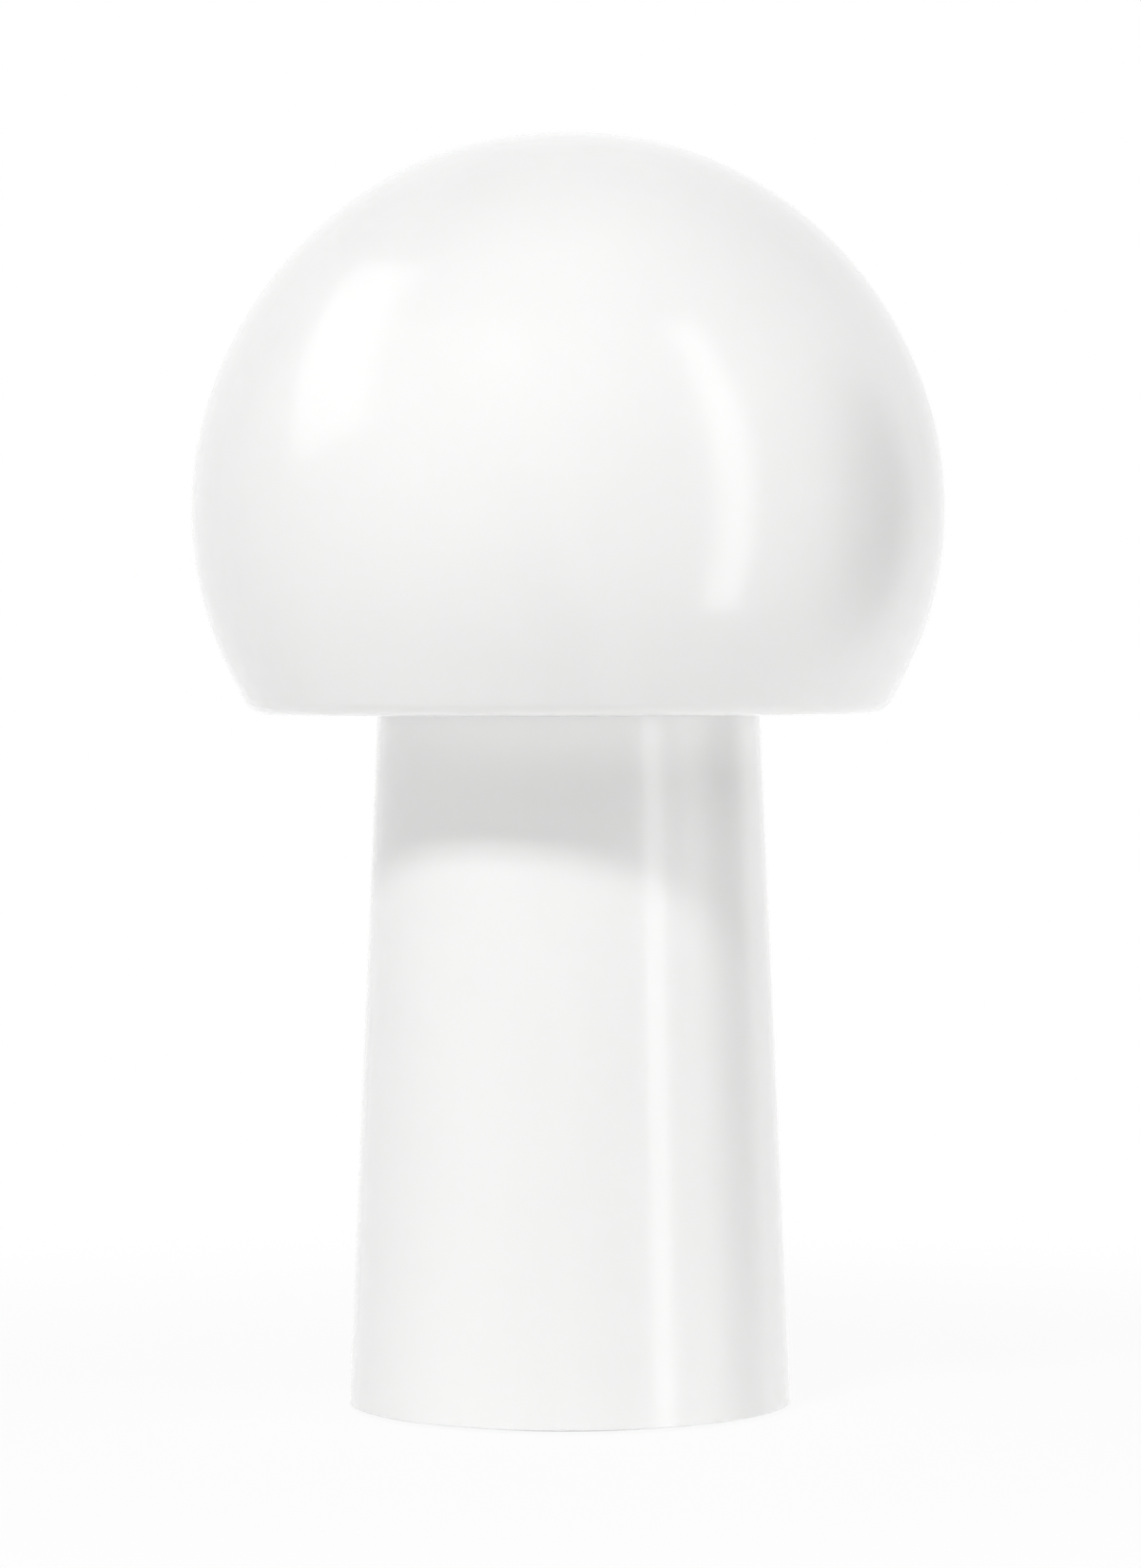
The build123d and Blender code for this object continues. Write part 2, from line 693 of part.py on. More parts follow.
def lampholder_shell():
    """Outer shell: skirt over the spigot of the cap, shoulder over the insert, wall and inturned mouth."""
    rim, wall = holder_radius, holder_wall
    high = shell_bottom + holder_shell_height
    mouth, lap = shell_radius + mouth_play, rim - wall / 2
    lap_top, shoulder = insert_step + seat_gap, insert_radius - ledge_width
    return ring(
        (lap, shell_bottom + seat_gap), (rim, shell_bottom + seat_gap), (rim, high - wall / 2),
        (rim - wall / 2, high), (mouth, high), (mouth, high - wall), (rim - wall, high - 2 * wall),
        (rim - wall, lap_top + wall), (shoulder, lap_top + wall / 2), (shoulder, lap_top), (lap, lap_top),
    )


def rivet_place():
    """Distance of the two rivets from the middle of the screw shell's foot."""
    return shell_radius - screw_shell_wall - rivet_dia


def screw_shell():
    """Brass sleeve that takes the Edison cap, with an inturned foot riveted to the insert."""
    low, high, wall = insert_top, insert_top + screw_shell_height, screw_shell_wall
    inner = shell_radius - wall
    foot = inner - screw_shell_foot
    sleeve = ring((foot, low), (shell_radius, low), (shell_radius, high), (inner, high),
                  (inner, low + wall), (foot, low + wall))
    gap = block(tongue_width + 4 * seat_gap, 2 * shell_radius - 2 * wall, low - 1, low + wall)
    holes = [bar(rivet_dia / 2, low - 1, low + 1, side * rivet_place()) for side in (-1, 1)]
    return sleeve - gap - holes


def shell_rivets():
    """Two brass rivets through the foot of the screw shell into the insert."""
    low, high = insert_top - rivet_length, insert_top + screw_shell_wall
    shank, head = rivet_dia / 2 - seat_gap, rivet_dia / 2 + 2 * seat_gap
    rivet = bar(shank, low, high) + bar(head, high, high + rivet_dia / 3)
    return group([Pos(side * rivet_place(), 0, 0) * rivet for side in (-1, 1)])


def tongue_reach():
    """Distance from the middle to the fixed end of the centre contact."""
    return shell_radius - screw_shell_wall - 2 * rivet_dia


def contact_screw_place():
    """Distance from the middle to the screw of the centre contact."""
    return tongue_reach() - contact_screw_dia


def centre_contact():
    """Brass leaf in the recess, screwed down at one end and bowed up to the solder button of the bulb."""
    low, reach, t = insert_top - tongue_recess, tongue_reach(), tongue_thick
    root = -contact_screw_place() + contact_screw_dia / 2 + pan_head_width + seat_gap
    crest, end = bulb_bottom - running_gap, reach / 2
    lower = ThreePointArc((0, root, low), (0, 0, crest - t), (0, end, low + t))
    upper = ThreePointArc((0, end, low + 2 * t), (0, 0, crest), (0, root, low + t))
    edges = [Line((0, -reach, low), (0, root, low)), lower, Line(lower @ 1, upper @ 0), upper,
             Line((0, root, low + t), (0, -reach, low + t)), Line((0, -reach, low + t), (0, -reach, low))]
    leaf = extrude(Face(Wire(edges)), tongue_width / 2, both=True)
    return leaf - bar(contact_screw_dia / 2, low - 1, low + t + 1, 0, -contact_screw_place())


def contact_screw():
    """Pan head screw, head up, that holds the centre contact to the insert."""
    low, top = insert_top - tongue_recess, insert_top - tongue_recess + tongue_thick
    radius = contact_screw_dia / 2 + pan_head_width
    head_top = top + pan_head_height / 2
    y = -contact_screw_place()
    screw = bar(contact_screw_dia / 2 - seat_gap, low - contact_screw_length + seat_gap, top, 0, y)
    slot = block(2 * radius + 1, slot_width / 2, head_top - recess_depth / 2, head_top + 1, 0, y)
    return screw + bar(radius, top, head_top, 0, y) - slot


# ------------------------------------------------------------------ bulb
def bulb_globe():
    """Blown globe whose neck flares in to a tube that ends inside the cap, open at the bottom."""
    radius, top, flank = bulb_dia / 2, bulb_bottom + bulb_length, bulb_flank
    neck = thread_major / 2 - bulb_cap_wall - bulb_cement
    centre = (0, top - radius)
    drop = sqrt((radius + flank) ** 2 - (neck + flank) ** 2)
    flank_centre = (neck + flank, centre[1] - drop)
    meet = degrees(asin(-drop / (radius + flank)))
    low = cap_top - bulb_neck_depth

    def outer_side(inset):
        """The silhouette that far inside the outer face, from the crown down to the end of the neck."""
        return [
            arc(centre, radius - inset, 90, meet),
            arc(flank_centre, flank + inset, 180 + meet, 180),
            *path((neck - inset, flank_centre[1]), (neck - inset, low)),
        ]

    ends = path((neck, low), (neck - bulb_wall, low)) + path((0, top - bulb_wall), (0, top))
    return turned(outer_side(0) + outer_side(bulb_wall) + ends)


def bulb_cap():
    """Thin metal cap of the Edison size, drawn in at its foot round the insulator."""
    outer, wall, taper = thread_major / 2, bulb_cap_wall, bulb_cap_taper
    return ring(
        (outer - taper, cap_bottom), (outer, cap_bottom + taper), (outer, cap_top), (outer - wall, cap_top),
        (outer - wall, cap_bottom + taper), (outer - taper - wall, cap_bottom),
    )


def bulb_insulator():
    """Coned insulator between the cap and the button."""
    radius = thread_major / 2 - bulb_cap_taper - bulb_cap_wall - running_gap
    low = bulb_bottom + contact_height
    tip = (contact_dia / 2 + radius) / 2
    high = cap_bottom + bulb_cap_wall
    return ring((0, low), (tip, low), (radius, cap_bottom - running_gap), (radius, high), (0, high))


def bulb_contact():
    """Domed solder button."""
    radius, high = contact_dia / 2, bulb_bottom + contact_height
    ball = (radius**2 + contact_height**2) / (2 * contact_height)
    angle = degrees(asin(radius / ball))
    dome = arc((0, bulb_bottom + ball), ball, -90, -90 + angle)
    return turned([dome, *path((radius, high), (0, high), (0, bulb_bottom))])


# ------------------------------------------------------------------ all nodes
nodes = {
    "shade_glass": shade_glass(),
    "base_glass": base_glass(),
    "gallery_gasket": gallery_gasket(),
    "gallery_cup": gallery_cup(),
    "shade_cushion": shade_cushion(),
    "stem_tube": tube(stem_radius - stem_wall, stem_radius, stem_bottom, stem_top),
    "spacer_tube": tube(stem_hole, stem_hole + spacer_wall, ballast_top, land_under),
    "bottom_nut": Pos(0, 0, nut_bottom) * nut(nut_height),
    "earth_tag": earth_tag(),
    "bottom_lock_washer": Pos(0, 0, washer_bottom) * lock_washer(),
    "clamp_plate": clamp_plate(),
    "edge_ring": edge_ring(),
    "ballast_disc": ballast_disc(),
    "seat_washer": tube(stem_hole, stem_hole + seat_washer_width, land_top, top_washer_bottom),
    "top_lock_washer": Pos(0, 0, top_washer_bottom) * lock_washer(),
    "jam_nut": Pos(0, 0, jam_nut_bottom) * nut(jam_nut_height),
    "foot_cover": foot_cover(),
    "cover_pillars": cover_pillars(),
    "cover_screws": group(around(pillar_count, pillar_circle, cover_screw())),
    "felt_ring": felt_ring(),
    "cord_gland": cord_gland(),
    "gland_nut": gland_nut(),
    "cord_clamp_bar": cord_clamp_bar(),
    "cord_clamp_screws": cord_clamp_screws(),
    "terminal_block": terminal_block(),
    "block_screws": block_screws(),
    "terminal_screws": terminal_screws(),
    "lead_live": stem_lead(1),
    "lead_neutral": stem_lead(-1),
    "lead_earth": earth_lead(),
    "lampholder_cap": lampholder_cap(),
    "lampholder_insert": lampholder_insert(),
    "lampholder_shell": lampholder_shell(),
    "screw_shell": screw_shell(),
    "shell_rivets": shell_rivets(),
    "centre_contact": centre_contact(),
    "contact_screw": contact_screw(),
    "bulb_globe": bulb_globe(),
    "bulb_cap": bulb_cap(),
    "bulb_insulator": bulb_insulator(),
    "bulb_contact": bulb_contact(),
}

os.makedirs("parts", exist_ok=True)
for name, shape in nodes.items():
    export_step(shape, f"parts/{name}.step")
    print(name, len(shape.solids()), round(shape.volume))
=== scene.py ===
"""Looks of the opal mushroom table lamp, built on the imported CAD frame.

Sizes are in millimetres, in the frame of the part: +Z up, the middle of the foot at the origin, the front
facing -Y and the cord outlet facing +Y. Points become metres when a mesh is made. Each sub-assembly is a class
whose fields are its sizes. It makes its pieces as surfaces on a grid, dresses them in a finish and lets each one
stand for its CAD node. Screws, nuts and other cut pieces are eased copies of the solids themselves.
"""

import json
import logging
from collections.abc import Callable, Sequence
from dataclasses import dataclass
from enum import Enum
from math import radians

import bmesh
import bpy
import numpy as np
from mathutils import Matrix, Vector

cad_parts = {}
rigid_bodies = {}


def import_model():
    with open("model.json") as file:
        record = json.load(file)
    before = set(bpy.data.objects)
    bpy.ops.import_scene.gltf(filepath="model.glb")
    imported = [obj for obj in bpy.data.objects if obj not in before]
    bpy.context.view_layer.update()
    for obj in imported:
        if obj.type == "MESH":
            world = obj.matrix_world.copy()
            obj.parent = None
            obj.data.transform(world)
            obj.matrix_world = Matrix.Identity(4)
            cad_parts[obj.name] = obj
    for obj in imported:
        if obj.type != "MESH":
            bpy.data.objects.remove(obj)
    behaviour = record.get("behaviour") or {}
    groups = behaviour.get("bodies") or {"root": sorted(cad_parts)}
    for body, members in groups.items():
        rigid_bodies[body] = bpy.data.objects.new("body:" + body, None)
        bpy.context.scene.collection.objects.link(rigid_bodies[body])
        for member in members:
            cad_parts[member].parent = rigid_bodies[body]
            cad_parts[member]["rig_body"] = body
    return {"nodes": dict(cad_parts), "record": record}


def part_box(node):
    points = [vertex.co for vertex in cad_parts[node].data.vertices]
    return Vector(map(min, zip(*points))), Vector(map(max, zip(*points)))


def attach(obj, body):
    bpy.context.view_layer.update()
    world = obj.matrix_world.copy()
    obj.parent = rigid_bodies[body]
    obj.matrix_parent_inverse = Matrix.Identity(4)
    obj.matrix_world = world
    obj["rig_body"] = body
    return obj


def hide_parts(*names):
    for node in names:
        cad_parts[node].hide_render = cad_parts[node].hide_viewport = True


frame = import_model()

LOG = logging.getLogger("lamp")
MM = 0.001
TURN = 2 * np.pi

Colour = tuple[float, float, float]
Triple = tuple[float, float, float]
Corner = tuple[float, float, float]
Shift = Callable[[np.ndarray, np.ndarray, np.ndarray], np.ndarray]
Socket = bpy.types.NodeSocket


# ------------------------------------------------------------------ surfaces
@dataclass
class Patch:
    """One surface on a grid.

    points[row, column] is a point in millimetres. The rows or the columns join up where they wrap, and a face
    is left out where keep is False.
    """

    points: np.ndarray
    wrap_rows: bool = False
    wrap_columns: bool = True
    keep: np.ndarray | None = None

    def quads(self) -> np.ndarray:
        """Vertex numbers of the faces: each joins a point, its right neighbour and the two above them.

        Returns:
            An array with a row of four numbers for each face.
        """
        rows, columns = self.points.shape[:2]
        number = np.arange(rows * columns).reshape(rows, columns)
        if self.wrap_rows:
            number = np.vstack([number, number[:1]])
        if self.wrap_columns:
            number = np.hstack([number, number[:, :1]])
        faces = np.stack([number[:-1, :-1], number[:-1, 1:], number[1:, 1:], number[1:, :-1]], axis=-1)
        if self.keep is not None:
            return faces[self.keep]
        return faces.reshape(-1, 4)


def arc(centre: tuple[float, float], radius: float, start: float, end: float, count: int = 6) -> np.ndarray:
    """Points of an arc in the half plane of (radius, height).

    The point at angle a is centre + radius * (cos a, sin a), with a running evenly between the two ends.

    Args:
        centre: Middle of the arc.
        radius: Radius of the arc.
        start: First angle in degrees, from the outward direction towards up.
        end: Last angle in degrees.
        count: Number of points, both ends among them.

    Returns:
        An array of (radius, height) rows.
    """
    angle = np.radians(np.linspace(start, end, count))
    return np.column_stack([centre[0] + radius * np.cos(angle), centre[1] + radius * np.sin(angle)])


def run(start: tuple[float, float], end: tuple[float, float], count: int = 2) -> np.ndarray:
    """Evenly spaced points of a straight run in the half plane, both ends among them."""
    return np.linspace(start, end, count)


def rounded(corners: Sequence[Corner], steps: int = 4) -> np.ndarray:
    """Closed outline through corners, each eased by its own rounding.

    The arc of a corner starts and ends at rounding / tan(half the corner's angle) from it, and its point at
    share t is the quadratic curve (1-t)^2 start + 2t(1-t) corner + t^2 end.

    Args:
        corners: (radius, height, rounding) of each corner, in order.
        steps: Number of runs in which a rounded corner turns.

    Returns:
        An array of (radius, height) rows, with no repeated end.
    """
    points = np.array([corner[:2] for corner in corners], float)
    share = np.linspace(0, 1, steps + 1)[:, None]
    pieces = []
    for index, (_, _, rounding) in enumerate(corners):
        here = points[index]
        back, ahead = points[index - 1] - here, points[(index + 1) % len(points)] - here
        back, ahead = back / np.linalg.norm(back), ahead / np.linalg.norm(ahead)
        if rounding <= 0:
            pieces.append(here[None])
            continue
        half = np.arccos(np.clip(back @ ahead, -1, 1)) / 2
        reach = rounding / np.tan(half)
        start, end = here + back * reach, here + ahead * reach
        pieces.append((1 - share) ** 2 * start + 2 * share * (1 - share) * here + share**2 * end)
    return np.vstack(pieces)


def round_angles(columns: int) -> np.ndarray:
    """Evenly spaced angles of one turn, as a row, without the repeated end."""
    return np.linspace(0, TURN, columns, endpoint=False)[None, :]


def turned(radius: np.ndarray, height: np.ndarray, angle: np.ndarray) -> np.ndarray:
    """Points (radius cos angle, radius sin angle, height), one for each place on the grid."""
    return np.stack([radius * np.cos(angle), radius * np.sin(angle), height], axis=-1)


def lathe(outline: np.ndarray, columns: int, closed: bool = True, shift: Shift | None = None) -> Patch:
    """Surface of an outline turned about Z.

    The point of row (r, z) at angle v is ((r + d) cos v, (r + d) sin v, z), where d is the shift there.

    Args:
        outline: (radius, height) rows.
        columns: Number of points round the axis.
        closed: Whether the outline closes on itself. An open one starts and ends on the axis.
        shift: Radial shift as a function of radius, height and angle, or none.

    Returns:
        The surface on a grid.
    """
    angle = round_angles(columns)
    radius = np.repeat(outline[:, :1], columns, axis=1)
    height = np.repeat(outline[:, 1:], columns, axis=1)
    if shift is not None:
        radius = radius + shift(radius, height, angle)
    return Patch(turned(radius, height, angle), wrap_rows=closed)


def ease(value: np.ndarray) -> np.ndarray:
    """Smooth step: 0 below 0, 1 above 1, and 3t^2 - 2t^3 between."""
    t = np.clip(value, 0, 1)
    return t * t * (3 - 2 * t)


def between(height: np.ndarray, low: float, rise: float, high: float, fall: float) -> np.ndarray:
    """1 between two heights, eased to 0 over the rise above the lower and the fall below the higher one."""
    return ease((height - low) / rise) * ease((high - height) / fall)


def rolled_thread(depth: float, pitch: float, side: np.ndarray, fade: tuple[float, float, float, float]) -> Shift:
    """Right-hand rolled thread on a turned sheet.

    The shift is depth * (cos(turn * height / pitch - angle) - 1), faded at both ends. The same formula on the
    sleeve and the bulb's cap keeps them in step as the bulb turns and rises.

    Args:
        depth: Half of the thread's depth in millimetres.
        pitch: Rise in one turn.
        side: 1 for each row that carries the thread and 0 for the others.
        fade: Lower height and rise, upper height and fall, as between takes them.

    Returns:
        The shift as a function of radius, height and angle.
    """
    def shift(radius: np.ndarray, height: np.ndarray, angle: np.ndarray) -> np.ndarray:
        """Radial shift at each point."""
        wave = np.cos(TURN * height / pitch - angle) - 1
        return depth * wave * between(height, *fade) * side[:, None]

    return shift


# ------------------------------------------------------------------ meshes
def mesh_piece(name: str, patches: Sequence[Patch], crease: float = 32) -> bpy.types.Object:
    """One piece from its surfaces, welded where they meet.

    Args:
        name: Name of the piece.
        patches: Surfaces in millimetres that together close round the material.
        crease: Angle in degrees above which an edge stays sharp.

    Returns:
        An object at the origin with its place in its mesh, in metres.
    """
    starts = np.cumsum([0] + [patch.points.shape[0] * patch.points.shape[1] for patch in patches])
    points = np.vstack([patch.points.reshape(-1, 3) for patch in patches]) * MM
    faces = np.vstack([patch.quads() + start for patch, start in zip(patches, starts)])
    mesh = bpy.data.meshes.new(name)
    mesh.vertices.add(len(points))
    mesh.vertices.foreach_set("co", points.astype(np.float32).ravel())
    mesh.loops.add(faces.size)
    mesh.loops.foreach_set("vertex_index", faces.astype(np.int32).ravel())
    mesh.polygons.add(len(faces))
    mesh.polygons.foreach_set("loop_start", np.arange(0, faces.size, 4, dtype=np.int32))
    mesh.update(calc_edges=True)
    weld(mesh)
    return finished(name, mesh, crease)


def weld(mesh: bpy.types.Mesh, flatten: bool = False) -> None:
    """Merge doubled points and turn all faces outwards.

    Args:
        mesh: The mesh to change.
        flatten: Whether flat groups of triangles become one face each.
    """
    work = bmesh.new()
    work.from_mesh(mesh)
    bmesh.ops.remove_doubles(work, verts=work.verts, dist=1e-6)
    if flatten:
        bmesh.ops.dissolve_limit(work, angle_limit=radians(0.5), verts=work.verts, edges=work.edges)
    bmesh.ops.recalc_face_normals(work, faces=work.faces)
    work.to_mesh(mesh)
    work.free()


def finished(name: str, mesh: bpy.types.Mesh, crease: float) -> bpy.types.Object:
    """Object for a mesh, shaded smooth but for its sharp edges.

    Args:
        name: Name of the object.
        mesh: Its mesh.
        crease: Angle in degrees above which an edge stays sharp.

    Returns:
        The object, linked to the scene.
    """
    mesh.shade_smooth()
    mesh.set_sharp_from_angle(angle=radians(crease))
    piece = bpy.data.objects.new(name, mesh)
    bpy.context.scene.collection.objects.link(piece)
    return piece


def settle(piece: bpy.types.Object, crease: float) -> bpy.types.Object:
    """Make what a piece's modifiers give its own mesh, and drop them.

    Args:
        piece: The piece, at the origin.
        crease: Angle in degrees above which an edge stays sharp.

    Returns:
        The same piece.
    """
    seen = piece.evaluated_get(bpy.context.evaluated_depsgraph_get())
    mesh = bpy.data.meshes.new_from_object(seen)
    piece.modifiers.clear()
    piece.data = mesh
    mesh.shade_smooth()
    mesh.set_sharp_from_angle(angle=radians(crease))
    return piece


def add_easing(piece: bpy.types.Object, width: float, angle: float) -> None:
    """Ease the sharp edges of a piece.

    Args:
        piece: The piece.
        width: Width of the easing in millimetres.
        angle: Angle in degrees above which an edge is eased.
    """
    bevel = piece.modifiers.new("easing", "BEVEL")
    bevel.width = width * MM
    bevel.segments = 2
    bevel.limit_method = "ANGLE"
    bevel.angle_limit = radians(angle)
    bevel.use_clamp_overlap = True


def eased_copy(node: str, width: float, crease: float = 32) -> bpy.types.Object:
    """Copy of a CAD node, its triangles joined into whole faces and its edges eased.

    Args:
        node: Name of the node.
        width: Width of the easing in millimetres.
        crease: Angle in degrees above which an edge is eased.

    Returns:
        The copy, as an object at the origin.
    """
    mesh = frame["nodes"][node].data.copy()
    mesh.materials.clear()
    if mesh.has_custom_normals:
        mesh.normals_split_custom_set([(0.0, 0.0, 0.0)] * len(mesh.loops))
    for attribute in ("custom_normal", "sharp_edge", "sharp_face"):
        if attribute in mesh.attributes:
            mesh.attributes.remove(mesh.attributes[attribute])
    weld(mesh, flatten=True)
    piece = finished(node + "_eased", mesh, crease)
    add_easing(piece, width, crease)
    return settle(piece, crease)


# ------------------------------------------------------------------ finishes
class Slot(Enum):
    """The record's material slots."""

    OPAL = "opal_glass"
    WHITE_COAT = "white_coat"
    ZINC = "zinc_steel"
    PRESSED = "pressed_steel"
    IRON = "cast_iron"
    SILICONE = "silicone"
    RUBBER = "black_rubber"
    FELT = "felt"
    COVER = "abs"
    GLAND = "gland_nylon"
    HOLDER = "holder_plastic"
    PORCELAIN = "porcelain"
    BRASS = "brass"
    TAG = "copper_tag"
    TERMINAL = "terminal_plastic"
    BROWN = "lead_brown"
    BLUE = "lead_blue"
    EARTH = "lead_earth"
    BULB = "bulb_glass"
    NICKEL = "bulb_nickel"
    BLACK_GLASS = "bulb_black"
    SOLDER = "solder"


class Recipe:
    """Node tree of one material, with short calls for the nodes that the finishes share."""

    def __init__(self, name: str, constants: dict[str, float | Sequence[float]]) -> None:
        """Start a material.

        Args:
            name: Name of the material.
            constants: Values of the principled shader's sockets that are the same all over the surface.
        """
        self.material = bpy.data.materials.new(name)
        self.material.use_nodes = True
        self.tree = self.material.node_tree
        self.shader = self.tree.nodes["Principled BSDF"]
        for socket, value in constants.items():
            self.shader.inputs[socket].default_value = value
        self.place = self.tree.nodes.new("ShaderNodeTexCoord").outputs["Object"]

    def mapped(self, stretch: Triple) -> Socket:
        """Object coordinates, stretched along each axis.

        Args:
            stretch: Factor along each axis.

        Returns:
            The stretched coordinates.
        """
        mapping = self.tree.nodes.new("ShaderNodeMapping")
        mapping.inputs["Scale"].default_value = stretch
        self.tree.links.new(self.place, mapping.inputs["Vector"])
        return mapping.outputs["Vector"]

    def noise(self, scale: float, detail: float = 3, rough: float = 0.5, stretch: Triple = (1, 1, 1)) -> Socket:
        """Cloudy pattern.

        Args:
            scale: Number of features per metre.
            detail: Number of finer layers.
            rough: Strength of the finer layers.
            stretch: How much closer the features are along each axis.

        Returns:
            A value about 0.5.
        """
        node = self.tree.nodes.new("ShaderNodeTexNoise")
        node.inputs["Scale"].default_value = scale
        node.inputs["Detail"].default_value = detail
        node.inputs["Roughness"].default_value = rough
        self.tree.links.new(self.mapped(stretch), node.inputs["Vector"])
        return node.outputs["Fac"]

    def cells(self, scale: float, stretch: Triple = (1, 1, 1)) -> Socket:
        """Distance to the nearest of scattered points.

        Args:
            scale: Number of points per metre.
            stretch: How much closer they are along each axis.

        Returns:
            The distance, 0 at each point.
        """
        node = self.tree.nodes.new("ShaderNodeTexVoronoi")
        node.inputs["Scale"].default_value = scale
        self.tree.links.new(self.mapped(stretch), node.inputs["Vector"])
        return node.outputs["Distance"]

    def along(self, axis: str) -> Socket:
        """One of the object coordinates, in metres.

        Args:
            axis: X, Y or Z.

        Returns:
            The coordinate.
        """
        split = self.tree.nodes.new("ShaderNodeSeparateXYZ")
        self.tree.links.new(self.place, split.inputs["Vector"])
        return split.outputs[axis]

    def span(self, value: Socket, low: float, high: float, start: float = 0.3, end: float = 0.7) -> Socket:
        """Value that runs between two numbers as the given one does.

        Args:
            value: The given value.
            low: Result at the start.
            high: Result at the end.
            start: Given value at the start.
            end: Given value at the end.

        Returns:
            The new value.
        """
        node = self.tree.nodes.new("ShaderNodeMapRange")
        for socket, number in (("From Min", start), ("From Max", end), ("To Min", low), ("To Max", high)):
            node.inputs[socket].default_value = number
        self.tree.links.new(value, node.inputs["Value"])
        return node.outputs["Result"]

    def maths(self, operation: str, first: Socket, second: Socket | float) -> Socket:
        """Result of one arithmetic step on two values.

        Args:
            operation: Name of the step.
            first: First value.
            second: Second value, or a plain number.

        Returns:
            The result.
        """
        node = self.tree.nodes.new("ShaderNodeMath")
        node.operation = operation
        self.tree.links.new(first, node.inputs[0])
        if isinstance(second, Socket):
            self.tree.links.new(second, node.inputs[1])
        else:
            node.inputs[1].default_value = second
        return node.outputs["Value"]

    def tint(self, share: Socket, first: Colour | Socket, second: Colour | Socket) -> Socket:
        """Mix of two colours.

        Args:
            share: Share of the second colour, 0 to 1.
            first: Colour at 0.
            second: Colour at 1.

        Returns:
            The colour.
        """
        node = self.tree.nodes.new("ShaderNodeMix")
        node.data_type = "RGBA"
        factor, start, end = (socket for socket in node.inputs if socket.enabled)
        self.tree.links.new(share, factor)
        for socket, colour in ((start, first), (end, second)):
            if isinstance(colour, Socket):
                self.tree.links.new(colour, socket)
            else:
                socket.default_value = (*colour, 1)
        return next(socket for socket in node.outputs if socket.enabled)

    def feed(self, socket: str, value: Socket) -> None:
        """Link a pattern to one of the shader's sockets."""
        self.tree.links.new(value, self.shader.inputs[socket])

    def relief(self, height: Socket, depth: float) -> None:
        """Raise the surface by a pattern, on top of any earlier relief.

        Args:
            height: The pattern.
            depth: Height in metres that a step of 1 in the pattern stands for.
        """
        node = self.tree.nodes.new("ShaderNodeBump")
        node.inputs["Strength"].default_value = 1.0
        node.inputs["Distance"].default_value = depth
        self.tree.links.new(height, node.inputs["Height"])
        earlier = self.shader.inputs["Normal"].links
        if earlier:
            self.tree.links.new(earlier[0].from_socket, node.inputs["Normal"])
        self.tree.links.new(node.outputs["Normal"], self.shader.inputs["Normal"])


@dataclass(frozen=True)
class Finish:
    """A surface finish for one of the record's slots."""

    slot: Slot
    colour: Colour
    roughness: float = 0.5

    def recipe(self) -> Recipe:
        """The material's node tree."""
        raise NotImplementedError

    def material(self) -> bpy.types.Material:
        """The material, made once for each slot."""
        name = "finish_" + self.slot.value
        return bpy.data.materials.get(name) or self.recipe().material

    def start(self, **constants: float | Sequence[float]) -> Recipe:
        """Node tree with this finish's colour and roughness.

        Args:
            **constants: Values by the names of the shader's sockets.

        Returns:
            The node tree.
        """
        sockets = {name.replace("_", " "): value for name, value in constants.items()}
        base = {"Base Color": (*self.colour, 1), "Roughness": self.roughness}
        return Recipe("finish_" + self.slot.value, base | sockets)

    def shade_of(self, factor: float) -> Colour:
        """This finish's colour, lighter or darker by a factor."""
        return tuple(min(1.0, part * factor) for part in self.colour)

    def mottle(self, recipe: Recipe, pattern: Socket, dark: float, light: float = 1.0) -> None:
        """Let the colour go from a dark to a light multiple of itself as a pattern rises."""
        recipe.feed("Base Color", recipe.tint(recipe.span(pattern, 0, 1), self.shade_of(dark), self.shade_of(light)))

    def dull(self, recipe: Recipe, pattern: Socket, low: float, high: float) -> None:
        """Let the roughness go between two multiples of itself as a pattern rises."""
        recipe.feed("Roughness", recipe.span(pattern, self.roughness * low, self.roughness * high))


@dataclass(frozen=True)
class OpalGlass(Finish):
    """Cased opal glass: a white body under a clear polished skin, with the faint waves of blown glass."""

    body_depth: float = 2.0
    wave: float = 0.00006
    skin_roughness: float = 0.17
    seed_height: float = 0.00001

    def recipe(self) -> Recipe:
        """White body with a faint cloudiness, a clear coat, slow waves and a few seeds.

        Returns:
            The node tree of the material.
        """
        recipe = self.start(**{
            "IOR": 1.5, "Coat Weight": 1.0, "Coat Roughness": self.skin_roughness, "Coat IOR": 1.5,
            "Subsurface Weight": 0.25, "Subsurface Radius": (1.0, 0.97, 0.92),
            "Subsurface Scale": self.body_depth * MM,
        })
        cloud = recipe.noise(14, detail=2)
        self.mottle(recipe, cloud, 0.992)
        self.dull(recipe, recipe.noise(35, detail=3), 0.9, 1.1)
        recipe.relief(recipe.noise(9, detail=1, stretch=(1, 1, 0.6)), self.wave)
        seeds = recipe.span(recipe.cells(110), 1, 0, start=0.0, end=0.035)
        recipe.relief(seeds, self.seed_height)
        return recipe


@dataclass(frozen=True)
class PowderCoat(Finish):
    """Baked powder coat with its fine orange peel."""

    peel: float = 0.000025

    def recipe(self) -> Recipe:
        """Even paint with a pebbled skin that is a little glossier on its crests.

        Returns:
            The node tree of the material.
        """
        recipe = self.start(**{"Coat Weight": 0.2, "Coat Roughness": 0.3})
        peel = recipe.noise(900, detail=2, rough=0.4)
        self.dull(recipe, peel, 1.15, 0.85)
        self.mottle(recipe, recipe.noise(40), 0.975)
        recipe.relief(peel, self.peel)
        return recipe


